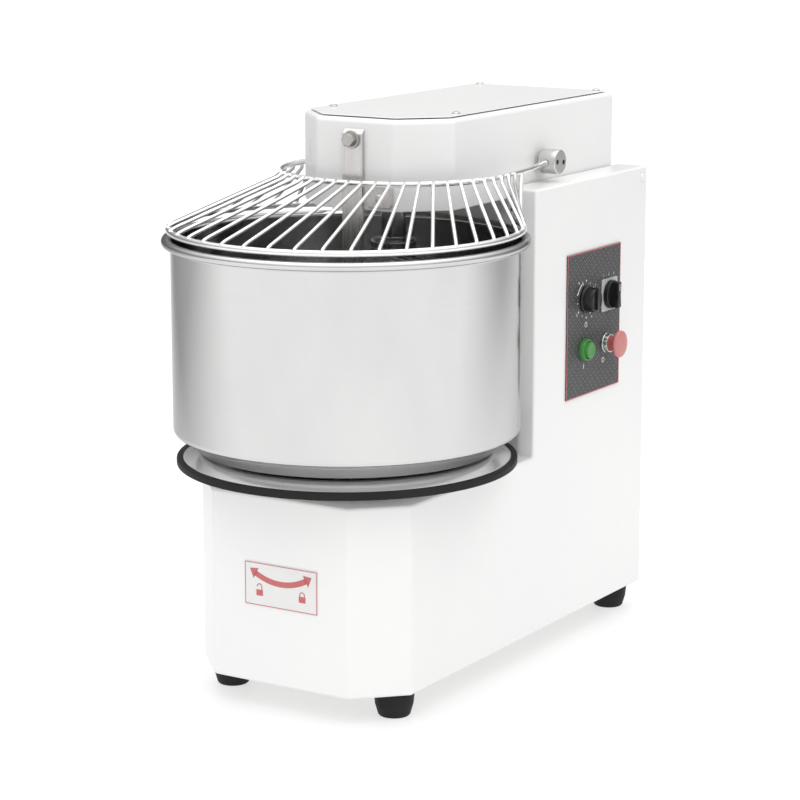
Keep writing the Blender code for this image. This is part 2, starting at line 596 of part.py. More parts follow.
def make_controls():
    """The panel's film and what stands on it: timer, speed selector, start and stop buttons."""
    face = PANEL_FACE + GAP
    block("control_panel", (PANEL_X, PANEL_Y[0], PANEL_Z[0]), (PANEL_FACE, PANEL_Y[1], PANEL_Z[1]), PANEL)

    barrel = [(0.0, 0.0145), (0.0108, 0.0145), (0.0122, 0.0125), (0.0130, 0.0030), (0.0145, 0.0020)]
    barrel += [(0.0145, 0.0), (0.0, 0.0)]
    knob = turned("timer_knob", barrel, PLASTIC, (face, TIMER_Y, TIMER_Z), 1, 32)
    low = (face + 0.003, TIMER_Y - 0.0020, TIMER_Z)
    join(knob, block("timer_pointer", low, (face + 0.0155, TIMER_Y + 0.0020, TIMER_Z + 0.0138)))

    half = 0.0178
    low = (face, SPEED_Y - half, SPEED_Z - half)
    block("speed_plate", low, (face + 0.0014, SPEED_Y + half, SPEED_Z + half), GREY, 0.0004)
    seat = face + 0.0014 + GAP
    dial = [(0.0, 0.0050), (0.0150, 0.0050), (0.0155, 0.0042), (0.0155, 0.0), (0.0, 0.0)]
    knob = turned("speed_knob", dial, PLASTIC, (seat, SPEED_Y, SPEED_Z), 1, 32)
    low = (seat + 0.003, SPEED_Y - 0.0042, SPEED_Z - 0.0143)
    join(knob, block("speed_grip", low, (seat + 0.0120, SPEED_Y + 0.0042, SPEED_Z + 0.0143)))

    spot = (face, START_Y, BUTTON_Z)
    ring("start_bezel", 0.0120, 0.0098, 0.0, 0.0060, PLASTIC, spot, 1, 32)
    button = [(0.0, 0.0095), (0.0084, 0.0095), (0.0095, 0.0084), (0.0095, 0.0045), (0.0, 0.0045)]
    turned("start_button", button, GREEN, spot, 1, 32)

    spot = (face, STOP_Y, BUTTON_Z)
    ring("stop_collar", 0.0110, 0.0085, 0.0, 0.0075, STEEL, spot, 1, 32)
    rod("stop_stem", 0.0082, 0.0055, 0.0143, PLASTIC, spot, 1, 24)
    cap = [(0.0, 0.0212), (0.0085, 0.0208), (0.0130, 0.0196), (0.0148, 0.0176), (0.0148, 0.0162)]
    cap += [(0.0125, 0.0146), (0.0, 0.0146)]
    turned("stop_cap", cap, RED, spot, 1, 32)


clear_scene()
PARTS = collection("dough_mixer")
CUTTERS = collection("cutters", hidden=True)
make_base()
make_column()
make_drive()
make_turntable()
make_bowl()
make_head()
make_hinge_and_pivots()
make_breaker()
make_head_drive()
make_spiral()
make_guard()
make_controls()
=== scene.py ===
"""The looks of the spiral dough mixer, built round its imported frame. Metres, +Z up, bowl at -Y."""

import json
import math

import bmesh
import bpy
from mathutils import Matrix, Vector


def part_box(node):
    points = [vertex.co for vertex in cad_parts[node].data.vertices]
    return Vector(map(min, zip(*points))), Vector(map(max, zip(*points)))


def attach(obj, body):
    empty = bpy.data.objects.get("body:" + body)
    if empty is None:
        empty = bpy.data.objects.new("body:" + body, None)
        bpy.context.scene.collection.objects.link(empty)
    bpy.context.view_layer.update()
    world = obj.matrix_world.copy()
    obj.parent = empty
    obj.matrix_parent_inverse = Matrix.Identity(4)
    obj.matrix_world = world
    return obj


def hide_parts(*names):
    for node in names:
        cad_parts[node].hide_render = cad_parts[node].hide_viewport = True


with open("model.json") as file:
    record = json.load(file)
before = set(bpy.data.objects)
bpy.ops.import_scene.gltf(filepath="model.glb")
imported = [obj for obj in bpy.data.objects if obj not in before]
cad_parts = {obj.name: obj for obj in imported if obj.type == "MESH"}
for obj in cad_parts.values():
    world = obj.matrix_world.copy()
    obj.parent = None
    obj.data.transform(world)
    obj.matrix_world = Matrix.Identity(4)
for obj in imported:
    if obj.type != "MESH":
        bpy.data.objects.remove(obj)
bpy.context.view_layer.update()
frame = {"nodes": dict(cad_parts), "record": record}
TAU = 2 * math.pi


# ---------------- geometry helpers


def rounded(corners, steps=4, closed=True):
    """Points of an outline of (x, y, radius) corners, with each corner turned into an arc."""
    points = []
    for index, (x, y, radius) in enumerate(corners):
        last = len(corners) - 1
        if radius <= 0 or (not closed and index in (0, last)):
            points.append((x, y))
            continue
        here = Vector((x, y))
        before = (Vector(corners[index - 1][:2]) - here).normalized()
        after = (Vector(corners[(index + 1) % len(corners)][:2]) - here).normalized()
        half = before.angle(after) / 2
        centre = here + (before + after).normalized() * radius / math.sin(half)
        start = here + before * radius / math.tan(half) - centre
        end = here + after * radius / math.tan(half) - centre
        begin = math.atan2(start.y, start.x)
        sweep = (math.atan2(end.y, end.x) - begin + math.pi) % TAU - math.pi
        for step in range(steps + 1):
            angle = begin + sweep * step / steps
            points.append((centre.x + radius * math.cos(angle), centre.y + radius * math.sin(angle)))
    return points


def arc(radius, start, end, count, centre=(0.0, 0.0)):
    """Points on an arc, with angles in degrees."""
    angles = [math.radians(start + (end - start) * i / (count - 1)) for i in range(count)]
    return [(centre[0] + radius * math.cos(a), centre[1] + radius * math.sin(a)) for a in angles]


def polar(radius, angle, centre=(0.0, 0.0)):
    """The point at an angle in degrees round a centre."""
    return arc(radius, angle, angle, 2, centre)[0]


def oblong(low, high, radius=0.0):
    """A rectangle's outline between two corners, with each corner rounded."""
    (x0, y0), (x1, y1) = low, high
    return rounded([(x0, y0, radius), (x1, y0, radius), (x1, y1, radius), (x0, y1, radius)])


def mesh_object(name, made):
    mesh = bpy.data.meshes.new(name)
    made.to_mesh(mesh)
    made.free()
    obj = bpy.data.objects.new(name, mesh)
    bpy.context.scene.collection.objects.link(obj)
    return obj


def prism(name, outline, low, high, edge=0.0, segments=2):
    """An upright solid on a flat outline, with its top and bottom edges rounded by edge."""
    made = bmesh.new()
    base = made.faces.new([made.verts.new((x, y, low)) for x, y in outline])
    raised = bmesh.ops.extrude_face_region(made, geom=[base])["geom"]
    top = [item for item in raised if isinstance(item, bmesh.types.BMVert)]
    bmesh.ops.translate(made, vec=(0, 0, high - low), verts=top)
    bmesh.ops.recalc_face_normals(made, faces=made.faces)
    if edge:
        flat = [e for e in made.edges if abs(e.verts[0].co.z - e.verts[1].co.z) < 1e-7]
        bmesh.ops.bevel(made, geom=flat, offset=edge, segments=segments, profile=0.5, affect="EDGES")
    return mesh_object(name, made)


def block(name, low, high, edge=0.0, segments=2):
    """A box between two corners with all its edges rounded."""
    low, high = Vector(low), Vector(high)
    made = bmesh.new()
    bmesh.ops.create_cube(made, size=1.0)
    bmesh.ops.scale(made, vec=high - low, verts=made.verts)
    bmesh.ops.translate(made, vec=(low + high) / 2, verts=made.verts)
    if edge:
        bmesh.ops.bevel(made, geom=made.edges[:], offset=edge, segments=segments, profile=0.5, affect="EDGES")
    return mesh_object(name, made)


def turned(name, corners, centre=(0, 0, 0), direction="z", segments=64, steps=3, ring=False):
    """A turned solid of (radius, height, rounding) corners. A ring's outline is closed."""
    profile = rounded(corners, steps, closed=ring)
    made = bmesh.new()
    verts = [made.verts.new((r, 0, z)) for r, z in profile]
    pairs = list(zip(verts, verts[1:])) + ([(verts[-1], verts[0])] if ring else [])
    edges = [made.edges.new(pair) for pair in pairs]
    bmesh.ops.spin(
        made, geom=verts + edges, cent=(0, 0, 0), axis=(0, 0, 1), angle=TAU, steps=segments, use_merge=True
    )
    bmesh.ops.remove_doubles(made, verts=made.verts, dist=1e-6)
    bmesh.ops.recalc_face_normals(made, faces=made.faces)
    turn = {
        "z": Matrix.Identity(4),
        "x": Matrix.Rotation(math.pi / 2, 4, "Y"),
        "-x": Matrix.Rotation(-math.pi / 2, 4, "Y"),
        "-y": Matrix.Rotation(math.pi / 2, 4, "X"),
        "y": Matrix.Rotation(-math.pi / 2, 4, "X"),
    }[direction]
    bmesh.ops.transform(made, matrix=Matrix.Translation(centre) @ turn, verts=made.verts)
    return mesh_object(name, made)


def drill(name, radius, low, high, centre, direction="z", segments=24):
    """A plain round cutter between two heights along its direction."""
    corners = [(0, high, 0), (radius, high, 0), (radius, low, 0), (0, low, 0)]
    return turned(name, corners, centre, direction, segments)


def facing_front(centre):
    """Stands a flat shape up, so that its top faces -Y."""
    return Matrix.Translation(centre) @ Matrix.Rotation(math.pi / 2, 4, "X")


def facing_right(x, y=0.0, z=0.0):
    """Stands a flat shape up, so that its top faces +X and its own y points up."""
    return Matrix(((0, 0, 1, x), (1, 0, 0, y), (0, 1, 0, z), (0, 0, 0, 1)))


def evaluated_mesh(obj):
    bpy.context.view_layer.update()
    return bpy.data.meshes.new_from_object(obj.evaluated_get(bpy.context.evaluated_depsgraph_get()))


def tube(name, points, radius, sides=12, cyclic=False, taper=None):
    """A round rod along points. taper gives each point's share of the radius."""
    data = bpy.data.curves.new(name, "CURVE")
    data.dimensions = "3D"
    data.bevel_depth = radius
    data.bevel_resolution = (sides - 4) // 2
    data.use_fill_caps = not cyclic
    spline = data.splines.new("POLY")
    spline.points.add(len(points) - 1)
    for index, (target, source) in enumerate(zip(spline.points, points)):
        target.co = (*source, 1.0)
        target.radius = taper[index] if taper else 1.0
    spline.use_cyclic_u = cyclic
    guide = bpy.data.objects.new(name + "_guide", data)
    bpy.context.scene.collection.objects.link(guide)
    mesh = evaluated_mesh(guide)
    bpy.data.objects.remove(guide)
    bpy.data.curves.remove(data)
    made = bmesh.new()
    made.from_mesh(mesh)
    bmesh.ops.remove_doubles(made, verts=made.verts, dist=1e-6)
    bpy.data.meshes.remove(mesh)
    return mesh_object(name, made)


def combine(obj, others, operation="DIFFERENCE"):
    for other in others:
        modifier = obj.modifiers.new("combine", "BOOLEAN")
        modifier.operation = operation
        modifier.object = other
    old, obj.data = obj.data, evaluated_mesh(obj)
    obj.modifiers.clear()
    bpy.data.meshes.remove(old)
    for other in others:
        bpy.data.objects.remove(other)
    return obj


def merged(name, pieces):
    """One object made of several meshes that lie in the same piece."""
    made = bmesh.new()
    for piece in pieces:
        piece.data.transform(piece.matrix_world)
        made.from_mesh(piece.data)
        bpy.data.objects.remove(piece)
    return mesh_object(name, made)


def round_edges(obj, width, segments=3, angle=30):
    """Rounds every edge sharper than an angle, and makes it part of the mesh."""
    made = bmesh.new()
    made.from_mesh(obj.data)
    limit = math.radians(1)
    bmesh.ops.dissolve_limit(made, angle_limit=limit, verts=made.verts, edges=made.edges)
    sharp = [e for e in made.edges if len(e.link_faces) == 2 and e.calc_face_angle() > math.radians(angle)]
    bmesh.ops.bevel(
        made, geom=sharp, offset=width, segments=segments, profile=0.5, affect="EDGES", clamp_overlap=True
    )
    made.to_mesh(obj.data)
    made.free()
    return obj


def smooth(obj, angle=35, weighted=True):
    obj.data.shade_smooth()
    obj.data.set_sharp_from_angle(angle=math.radians(angle))
    if weighted:
        modifier = obj.modifiers.new("normals", "WEIGHTED_NORMAL")
        modifier.keep_sharp = True
    return obj


def smoothstep(value):
    value = max(0.0, min(1.0, value))
    return value * value * (3 - 2 * value)


def middle_of(node):
    """The (y, z) middle of a CAD node's box."""
    low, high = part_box(node)
    return (low.y + high.y) / 2, (low.z + high.z) / 2


# ---------------- sizes from the frame

RECORD_JOINTS = frame["record"]["behaviour"]["joints"]
JOINT_AT = {joint["name"]: Vector(joint["pos_m"]) for joint in RECORD_JOINTS if "pos_m" in joint}
BASE_LOW, BASE_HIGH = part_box("base_housing")
COLUMN_LOW, COLUMN_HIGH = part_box("column_housing")
HEAD_LOW, HEAD_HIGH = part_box("head_housing")
BOWL_LOW, BOWL_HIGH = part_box("bowl")
TABLE_LOW, TABLE_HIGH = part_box("turntable_edge")
PANEL_LOW, PANEL_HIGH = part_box("control_panel")

HINGE = JOINT_AT["head_tilt"]
HUB = JOINT_AT["guard_tilt"]
SPIRAL_Y = JOINT_AT["spiral_turn"].y
BOWL_Y = (BOWL_LOW.y + BOWL_HIGH.y) / 2
HALF = BASE_HIGH.x
RIM = BOWL_HIGH.x

# Housing: gap between the rim and the column, cut front corners, sheet thickness.
RECESS = RIM + 0.010
CHAMFER = 0.046
HEAD_CHAMFER = 0.044
SHEET = 0.002

# Guard: its outer ring, and the radii of its rods.
RING_RADIUS, RING_Z = 0.178, 0.475
INNER_ROD, OUTER_ROD, WIRE_ROD = 0.0028, 0.0033, 0.0020

# Panel: its face, the middles of its controls, and how thick printed marks are.
FACE = PANEL_HIGH.x
TIMER_RADIUS = 0.0145
TIMER = (middle_of("timer_knob")[0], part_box("timer_knob")[0].z + TIMER_RADIUS)
SPEED = middle_of("speed_plate")
START = middle_of("start_button")
STOP = middle_of("stop_cap")
INK = 0.00012
INK_GAP = 0.00002

# Studio: horizontal directions as the camera sees them, floor and sky levels, and the camera.
VIEW_AHEAD = (-0.53, 0.848, 0.0)
VIEW_ASIDE = (0.848, 0.53, 0.0)
VIEW_BACK = (0.53, -0.848, 0.0)
FLOOR_WHITE = 0.34
FLOOR_GLOW = 0.64
FLOOR_DIM = 0.45
FLOOR_RADIUS = 30.0
RIGHT_SHARE = 0.6
VIEW_NARROWING = -0.17
SKY_LOW = (0.20, 0.70)
SKY_TOP = 2.45
CAMERA_TURN, CAMERA_RISE = math.radians(31.9892), math.radians(11.9047)
CAMERA_AT = (1.44, -2.3189, 0.8526)
CAMERA_LENS, CAMERA_SENSOR = 119.04, 36.0


# ---------------- material helpers


def add(tree, kind, inputs=None, **settings):
    node = tree.nodes.new(kind)
    for key, value in settings.items():
        setattr(node, key, value)
    for key, value in (inputs or {}).items():
        socket = node.inputs[key]
        if isinstance(value, bpy.types.NodeSocket):
            tree.links.new(value, socket)
        else:
            socket.default_value = value
    return node


def maths(tree, operation, *values):
    """A Math node's result, from one to three numbers or sockets."""
    return add(tree, "ShaderNodeMath", dict(enumerate(values)), operation=operation).outputs["Value"]


def dot(tree, vector, way):
    return add(tree, "ShaderNodeVectorMath", {0: vector, 1: way}, operation="DOT_PRODUCT").outputs["Value"]


def start(name, roughness, metallic=0.0, **constants):
    """A new material: its node tree and its shader, with the given constants on the shader."""
    made = bpy.data.materials.new(name)
    made.use_nodes = True
    shader = made.node_tree.nodes["Principled BSDF"]
    shader.inputs["Roughness"].default_value = roughness
    shader.inputs["Metallic"].default_value = metallic
    for key, value in constants.items():
        shader.inputs[key.replace("_", " ")].default_value = value
    return made, made.node_tree, shader


def place(tree, scale=(1, 1, 1), rotation=(0, 0, 0), offset=(0, 0, 0)):
    """Coordinates in the machine's own frame, scaled."""
    source = add(tree, "ShaderNodeTexCoord").outputs["Object"]
    settings = {"Vector": source, "Scale": scale, "Rotation": rotation, "Location": offset}
    return add(tree, "ShaderNodeMapping", settings).outputs["Vector"]


def noise(tree, vector, scale, detail=3.0, roughness=0.5):
    settings = {"Vector": vector, "Scale": scale, "Detail": detail, "Roughness": roughness}
    return add(tree, "ShaderNodeTexNoise", settings).outputs["Fac"]


def remap(tree, value, low, high, start_at=0.3, end_at=0.7):
    settings = {"Value": value, "From Min": start_at, "From Max": end_at, "To Min": low, "To Max": high}
    return add(tree, "ShaderNodeMapRange", settings).outputs["Result"]


def blend_colours(tree, share, first, second):
    node = add(tree, "ShaderNodeMix", data_type="RGBA")
    tree.links.new(share, node.inputs["Factor"])
    for key, value in (("A", first), ("B", second)):
        socket = next(s for s in node.inputs if s.name == key and s.type == "RGBA")
        if isinstance(value, bpy.types.NodeSocket):
            tree.links.new(value, socket)
        else:
            socket.default_value = (*value, 1.0)
    return next(s for s in node.outputs if s.type == "RGBA")


def bump(tree, shader, height, strength, distance):
    settings = {"Height": height, "Strength": strength, "Distance": distance}
    node = add(tree, "ShaderNodeBump", settings)
    tree.links.new(node.outputs["Normal"], shader.inputs["Normal"])


def set_input(tree, shader, name, value):
    tree.links.new(value, shader.inputs[name])


def enamel():
    """White powder coat: fine orange peel, faint clouds, light scuffs that show in the gloss."""
    made, tree, shader = start("white_enamel", 0.3, Coat_Weight=0.25, Coat_Roughness=0.12)
    where = place(tree)
    cloud = remap(tree, noise(tree, where, 6.0, 4.0), 0.0, 1.0)
    colour = blend_colours(tree, cloud, (0.845, 0.85, 0.85), (0.875, 0.872, 0.862))
    dust = remap(tree, noise(tree, where, 160.0, 4.0, 0.7), 0.0, 0.08, 0.62, 0.8)
    set_input(tree, shader, "Base Color", blend_colours(tree, dust, colour, (0.62, 0.60, 0.57)))
    scuff = noise(tree, place(tree, (40, 40, 4), (0.3, 0.2, 0.5)), 30.0, 5.0, 0.65)
    set_input(tree, shader, "Roughness", remap(tree, scuff, 0.26, 0.42))
    bump(tree, shader, noise(tree, where, 650.0, 2.0), 0.10, 0.0004)
    return made


def brushed(name, colour, tint, scale, roughness=(0.22, 0.36), aniso=0.5, grain=0.12, **constants):
    """Metal brushed along the axis whose scale is small, with faint stains in a second tint."""
    made, tree, shader = start(name, 0.3, 1.0, Anisotropic=aniso, **constants)
    where = place(tree)
    lines = noise(tree, place(tree, scale), 1.0, 5.0, 0.6)
    stain = remap(tree, noise(tree, where, 14.0, 4.0, 0.6), 0.0, 1.0)
    base = blend_colours(tree, stain, colour, tint)
    dark = tuple(channel * 0.86 for channel in colour)
    share = remap(tree, lines, 0.0, 0.6, 0.35, 0.7)
    set_input(tree, shader, "Base Color", blend_colours(tree, share, base, dark))
    set_input(tree, shader, "Roughness", remap(tree, lines, *roughness))
    bump(tree, shader, lines, grain, 0.0003)
    return made


def spun(name, colour, tint, roughness, axis_y=0.0, aniso=0.0, grain=0.06, metallic=1.0, **constants):
    """Sheet metal spun on a lathe: fine rings round a vertical axis, and soft water marks."""
    made, tree, shader = start(name, 0.28, metallic, Anisotropic=aniso, **constants)
    split = add(tree, "ShaderNodeSeparateXYZ", {"Vector": place(tree, offset=(0, -axis_y, 0))})
    x, y, z = (split.outputs[key] for key in "XYZ")
    turn = maths(tree, "ARCTAN2", y, x)
    total = maths(tree, "ADD", maths(tree, "MULTIPLY", x, x), maths(tree, "MULTIPLY", y, y))
    along = maths(tree, "SUBTRACT", maths(tree, "SQRT", total), z)
    rings = add(tree, "ShaderNodeCombineXYZ", {"X": turn, "Y": along}).outputs["Vector"]
    fine = add(tree, "ShaderNodeMapping", {"Vector": rings, "Scale": (1.5, 900.0, 1.0)}).outputs["Vector"]
    lines = noise(tree, fine, 1.0, 5.0, 0.6)
    stain = remap(tree, noise(tree, place(tree, (1, 1, 0.5)), 9.0, 5.0, 0.6), 0.0, 1.0)
    base = blend_colours(tree, stain, colour, tint)
    dark = tuple(channel * 0.9 for channel in colour)
    share = remap(tree, lines, 0.0, grain * 8, 0.35, 0.7)
    set_input(tree, shader, "Base Color", blend_colours(tree, share, base, dark))
    set_input(tree, shader, "Roughness", remap(tree, lines, *roughness))
    if aniso:
        tangent = add(tree, "ShaderNodeTangent", direction_type="RADIAL", axis="Z")
        tree.links.new(tangent.outputs["Tangent"], shader.inputs["Tangent"])
    bump(tree, shader, lines, grain, 0.0001)
    return made


def plain(name, colour, second, roughness, metallic=0.0, grain=400.0, depth=0.15, cloud=20.0, **constants):
    """A material whose colour drifts between two tones, with a fine surface grain."""
    made, tree, shader = start(name, sum(roughness) / 2, metallic, **constants)
    where = place(tree)
    drift = remap(tree, noise(tree, where, cloud, 4.0, 0.6), 0.0, 1.0)
    set_input(tree, shader, "Base Color", blend_colours(tree, drift, colour, second))
    fine = noise(tree, where, grain, 3.0, 0.6)
    set_input(tree, shader, "Roughness", remap(tree, fine, *roughness))
    bump(tree, shader, fine, depth, 0.0003)
    return made


def carbon_film():
    """Printed film with a diagonal weave: dark dashes with thin lighter threads between them."""
    made, tree, shader = start("panel_film", 0.4, Specular_IOR_Level=0.3)
    split = add(tree, "ShaderNodeSeparateXYZ", {"Vector": place(tree)})
    flat = add(tree, "ShaderNodeCombineXYZ", {"X": split.outputs["Y"], "Y": split.outputs["Z"]})
    settings = {"Vector": flat.outputs["Vector"], "Rotation": (0, 0, math.radians(-45))}
    slanted = add(tree, "ShaderNodeMapping", settings).outputs["Vector"]
    threads = {
        "Vector": slanted,
        "Color1": (0.016, 0.016, 0.018, 1),
        "Color2": (0.034, 0.034, 0.037, 1),
        "Mortar": (0.17, 0.17, 0.175, 1),
        "Scale": 1.0,
        "Mortar Size": 0.00055,
        "Mortar Smooth": 0.4,
        "Brick Width": 0.0130,
        "Row Height": 0.0030,
    }
    weave = add(tree, "ShaderNodeTexBrick", threads)
    set_input(tree, shader, "Base Color", weave.outputs["Color"])
    set_input(tree, shader, "Roughness", remap(tree, noise(tree, place(tree), 300.0), 0.34, 0.48))
    bump(tree, shader, weave.outputs["Fac"], 0.2, 0.0001)
    return made


# Darker than steel's own edge tint: on top of the real edge tint, it paints shade into the bowl's reflections
# towards its outline.
EDGE_TINT_WITH_PAINTED_SHADE = (0.60, 0.60, 0.605, 1.0)
ENAMEL = enamel()
BOWL_STEEL = spun(
    "bowl_steel", (0.69, 0.69, 0.685), (0.63, 0.63, 0.63), (0.12, 0.19),
    axis_y=BOWL_Y, grain=0.02, Specular_Tint=EDGE_TINT_WITH_PAINTED_SHADE,
)
# Lighter than the bowl's steel and only half metallic: a painted sheen that stands in for the white studio
# reflected in the turntable plate.
PLATE_STEEL_WITH_PAINTED_SHEEN = spun(
    "plate_steel_painted_sheen", (0.88, 0.88, 0.875), (0.82, 0.82, 0.82), (0.10, 0.18),
    axis_y=BOWL_Y, grain=0.02, metallic=0.55,
)
SATIN = brushed("satin_steel", (0.68, 0.66, 0.655), (0.58, 0.55, 0.54), (700, 700, 14), grain=0.08)
# A darker copy of the satin steel, for the spiral's spindle and rod.
DARK_STEEL = brushed(
    "dark_satin_steel", (0.40, 0.40, 0.40), (0.30, 0.30, 0.31), (300, 300, 30),
    roughness=(0.16, 0.28), aniso=0.2,
)
TURNED = spun("turned_steel", (0.66, 0.66, 0.65), (0.58, 0.58, 0.58), (0.18, 0.3), aniso=0.3)
WIRE = plain(
    "bright_wire", (0.92, 0.92, 0.915), (0.84, 0.84, 0.835), (0.14, 0.24),
    metallic=1.0, grain=500.0, depth=0.04,
)
ZINC = plain(
    "zinc_plate", (0.56, 0.56, 0.54), (0.46, 0.45, 0.42), (0.26, 0.42),
    metallic=1.0, grain=700.0, depth=0.12,
)
IRON = plain(
    "cast_housing", (0.11, 0.12, 0.13), (0.08, 0.085, 0.09), (0.45, 0.65),
    metallic=0.2, grain=350.0, depth=0.5,
)
RUBBER = plain(
    "black_rubber", (0.010, 0.010, 0.010), (0.018, 0.0175, 0.017), (0.5, 0.7),
    grain=900.0, depth=0.25, Specular_IOR_Level=0.22,
)
BLACK = plain(
    "black_plastic", (0.008, 0.008, 0.0085), (0.014, 0.014, 0.015), (0.16, 0.28),
    grain=800.0, depth=0.06, Specular_IOR_Level=0.35,
)
GREY = plain("grey_plastic", (0.50, 0.51, 0.52), (0.44, 0.45, 0.46), (0.35, 0.5), grain=800.0, depth=0.12)
GREEN = plain("green_lens", (0.045, 0.235, 0.045), (0.06, 0.28, 0.06), (0.25, 0.36), grain=500.0, depth=0.05)
# One red plastic in two tones: the darker red on the neck is painted shade under the mushroom, and the
# lighter red on the cap is painted light on its face.
RED = plain("red_plastic", (0.46, 0.105, 0.105), (0.50, 0.13, 0.125), (0.30, 0.42), grain=700.0, depth=0.08)
RED_LIT_CAP = plain("red_cap_lit", (0.56, 0.19, 0.185), (0.60, 0.22, 0.21), (0.26, 0.38), grain=700.0, depth=0.08)
RED_INK = plain("red_ink", (0.58, 0.15, 0.15), (0.54, 0.135, 0.14), (0.4, 0.55), grain=900.0, depth=0.05)
WHITE_INK = plain("white_ink", (0.80, 0.80, 0.80), (0.72, 0.72, 0.72), (0.4, 0.55), grain=900.0, depth=0.05)
LABEL = plain("label_film", (0.80, 0.80, 0.795), (0.77, 0.765, 0.76), (0.3, 0.42), grain=600.0, depth=0.06)
FILM = carbon_film()


def piece(obj, material, body, slot, *nodes, angle=35, weighted=True):
    """Finishes a piece: its material, its shading, the body it rides on and the nodes it stands for."""
    obj.data.materials.clear()
    obj.data.materials.append(material)
    smooth(obj, angle, weighted)
    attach(obj, body)
    if nodes:
        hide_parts(*nodes)
    return obj


# ---------------- housing


def casing_plan(low, high, chamfer, corner, inset=0.0):
    """A casing's plan with two cut front corners."""
    half, front, rear = high.x - inset, low.y + inset, high.y - inset
    leg = chamfer - inset * (2 - math.sqrt(2))
    right = [(half - leg, front, corner), (half, front + leg, corner), (half, rear, corner / 2)]
    return right + [(-x, y, r) for x, y, r in reversed(right)]


def column_plan(inset=0.0):
    """The column's plan, hollowed in front round the bowl."""
    half, front, rear = COLUMN_HIGH.x - inset, COLUMN_LOW.y + inset, COLUMN_HIGH.y - inset
    radius = RECESS + inset
    edge = math.degrees(math.asin((front - BOWL_Y) / radius))
    hollow = [(x, y, 0.0) for x, y in arc(radius, 180 - edge, edge, 61, (0.0, BOWL_Y))]
    return [(half, rear, 0.0), (-half, rear, 0.0), (-half, front, 0.0)] + hollow + [(half, front, 0.0)]


def make_body_shell():
    """Base and column are one welded and coated casing, hollow and open below.

    Known fault: the rear_hole cut doesn't take. The rear wall stays, level with the rear cover plate,
    so the two faces fight and render black from behind.
    """
    bend, overlap = 0.0028, 0.05
    notch_low, notch_gap = 0.4885, 0.0014
    shaft_hole, pin_hole = 0.029, 0.0053
    outer = casing_plan(BASE_LOW, BASE_HIGH, CHAMFER, 0.0)
    shell = prism("body_shell", rounded(outer), BASE_LOW.z, BASE_HIGH.z)
    column = prism("column", rounded(column_plan()), BASE_HIGH.z - overlap, COLUMN_HIGH.z)
    combine(shell, [column], "UNION")
    round_edges(shell, bend, 4, 25)
    inner = casing_plan(BASE_LOW, BASE_HIGH, CHAMFER, 0.0, SHEET)
    base_hollow = prism("base_hollow", rounded(inner), 0.0, BASE_HIGH.z - SHEET)
    column_hollow = prism("column_hollow", rounded(column_plan(SHEET)), 0.1, COLUMN_HIGH.z - SHEET)
    combine(base_hollow, [column_hollow], "UNION")
    inside = HALF - SHEET
    rear = block("rear_hole", (-inside, BASE_HIGH.y - 0.02, 0.0), (inside, 0.4, COLUMN_HIGH.z - SHEET))
    slot = HEAD_HIGH.x + notch_gap
    way = block("head_way", (-slot, -0.05, notch_low), (slot, 0.4, 0.6))
    shaft = drill("shaft_way", shaft_hole, 0.15, 0.3, (0, BOWL_Y, 0), segments=64)
    combine(shell, [base_hollow, rear, way, shaft])
    combine(shell, [drill("pin_way", pin_hole, -0.2, 0.2, HINGE, "x", 32)])
    piece(shell, ENAMEL, "frame", "white_paint", "base_housing", "column_housing", angle=30)


def make_rear_cover():
    """A flat cover with a notch under the head and two columns of vent slots."""
    low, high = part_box("rear_cover")
    notch_half, notch_low = 0.092, 0.472
    rows, first_row, row_step, slot_tall = 7, 0.150, 0.016, 0.0045
    slot_middle, slot_half = 0.052, 0.034
    plate = block("rear_cover_plate", low, high, 0.0006, 1)
    slots = [block("cover_notch", (-notch_half, 0.2, notch_low), (notch_half, 0.4, 0.6))]
    for row in range(rows):
        for side in (-1, 1):
            x, z = side * slot_middle, first_row + row_step * row
            slots.append(block("vent", (x - slot_half, 0.29, z), (x + slot_half, 0.31, z + slot_tall)))
    combine(plate, slots)
    piece(plate, ENAMEL, "frame", "white_paint", "rear_cover", angle=30)


def make_hinge_pin():
    """The pin's ends are domed and coated with the housing."""
    low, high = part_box("hinge_pin")
    radius = (high.z - low.z) / 2
    dome = [(0, high.x, 0), (radius * 0.7, high.x - 0.0002, 0.001), (radius, high.x - 0.0012, 0.0006)]
    dome += [(radius, 0, 0), (0, 0, 0)]
    for side, way in (("left", "-x"), ("right", "x")):
        pin = turned("hinge_pin_" + side, dome, HINGE, way, 48)
        nodes = ["hinge_pin"] if side == "left" else []
        piece(pin, ENAMEL, "frame", "white_paint", *nodes, weighted=False)


def make_feet():
    """Tapered rubber feet, each with a collar on top and a hollow below."""
    for name in ("front_left", "front_right", "rear_left", "rear_right"):
        low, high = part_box("foot_" + name)
        x, y = (low.x + high.x) / 2, (low.y + high.y) / 2
        top, wide = high.z, (high.x - low.x) / 2
        corners = [(0, top, 0), (wide, top, 0.001), (wide, top - 0.004, 0.001)]
        corners += [(wide - 0.0011, 0.012, 0.004), (wide - 0.0042, 0.0014, 0.0012)]
        corners += [(wide - 0.0056, 0.0, 0.0006), (0.006, 0.0, 0.0005), (0.005, 0.004, 0.0005), (0, 0.004, 0)]
        foot = turned("rubber_foot_" + name, corners, (x, y, 0), "z", 48)
        piece(foot, RUBBER, "frame", "black_rubber", "foot_" + name)


# ---------------- bowl and turntable


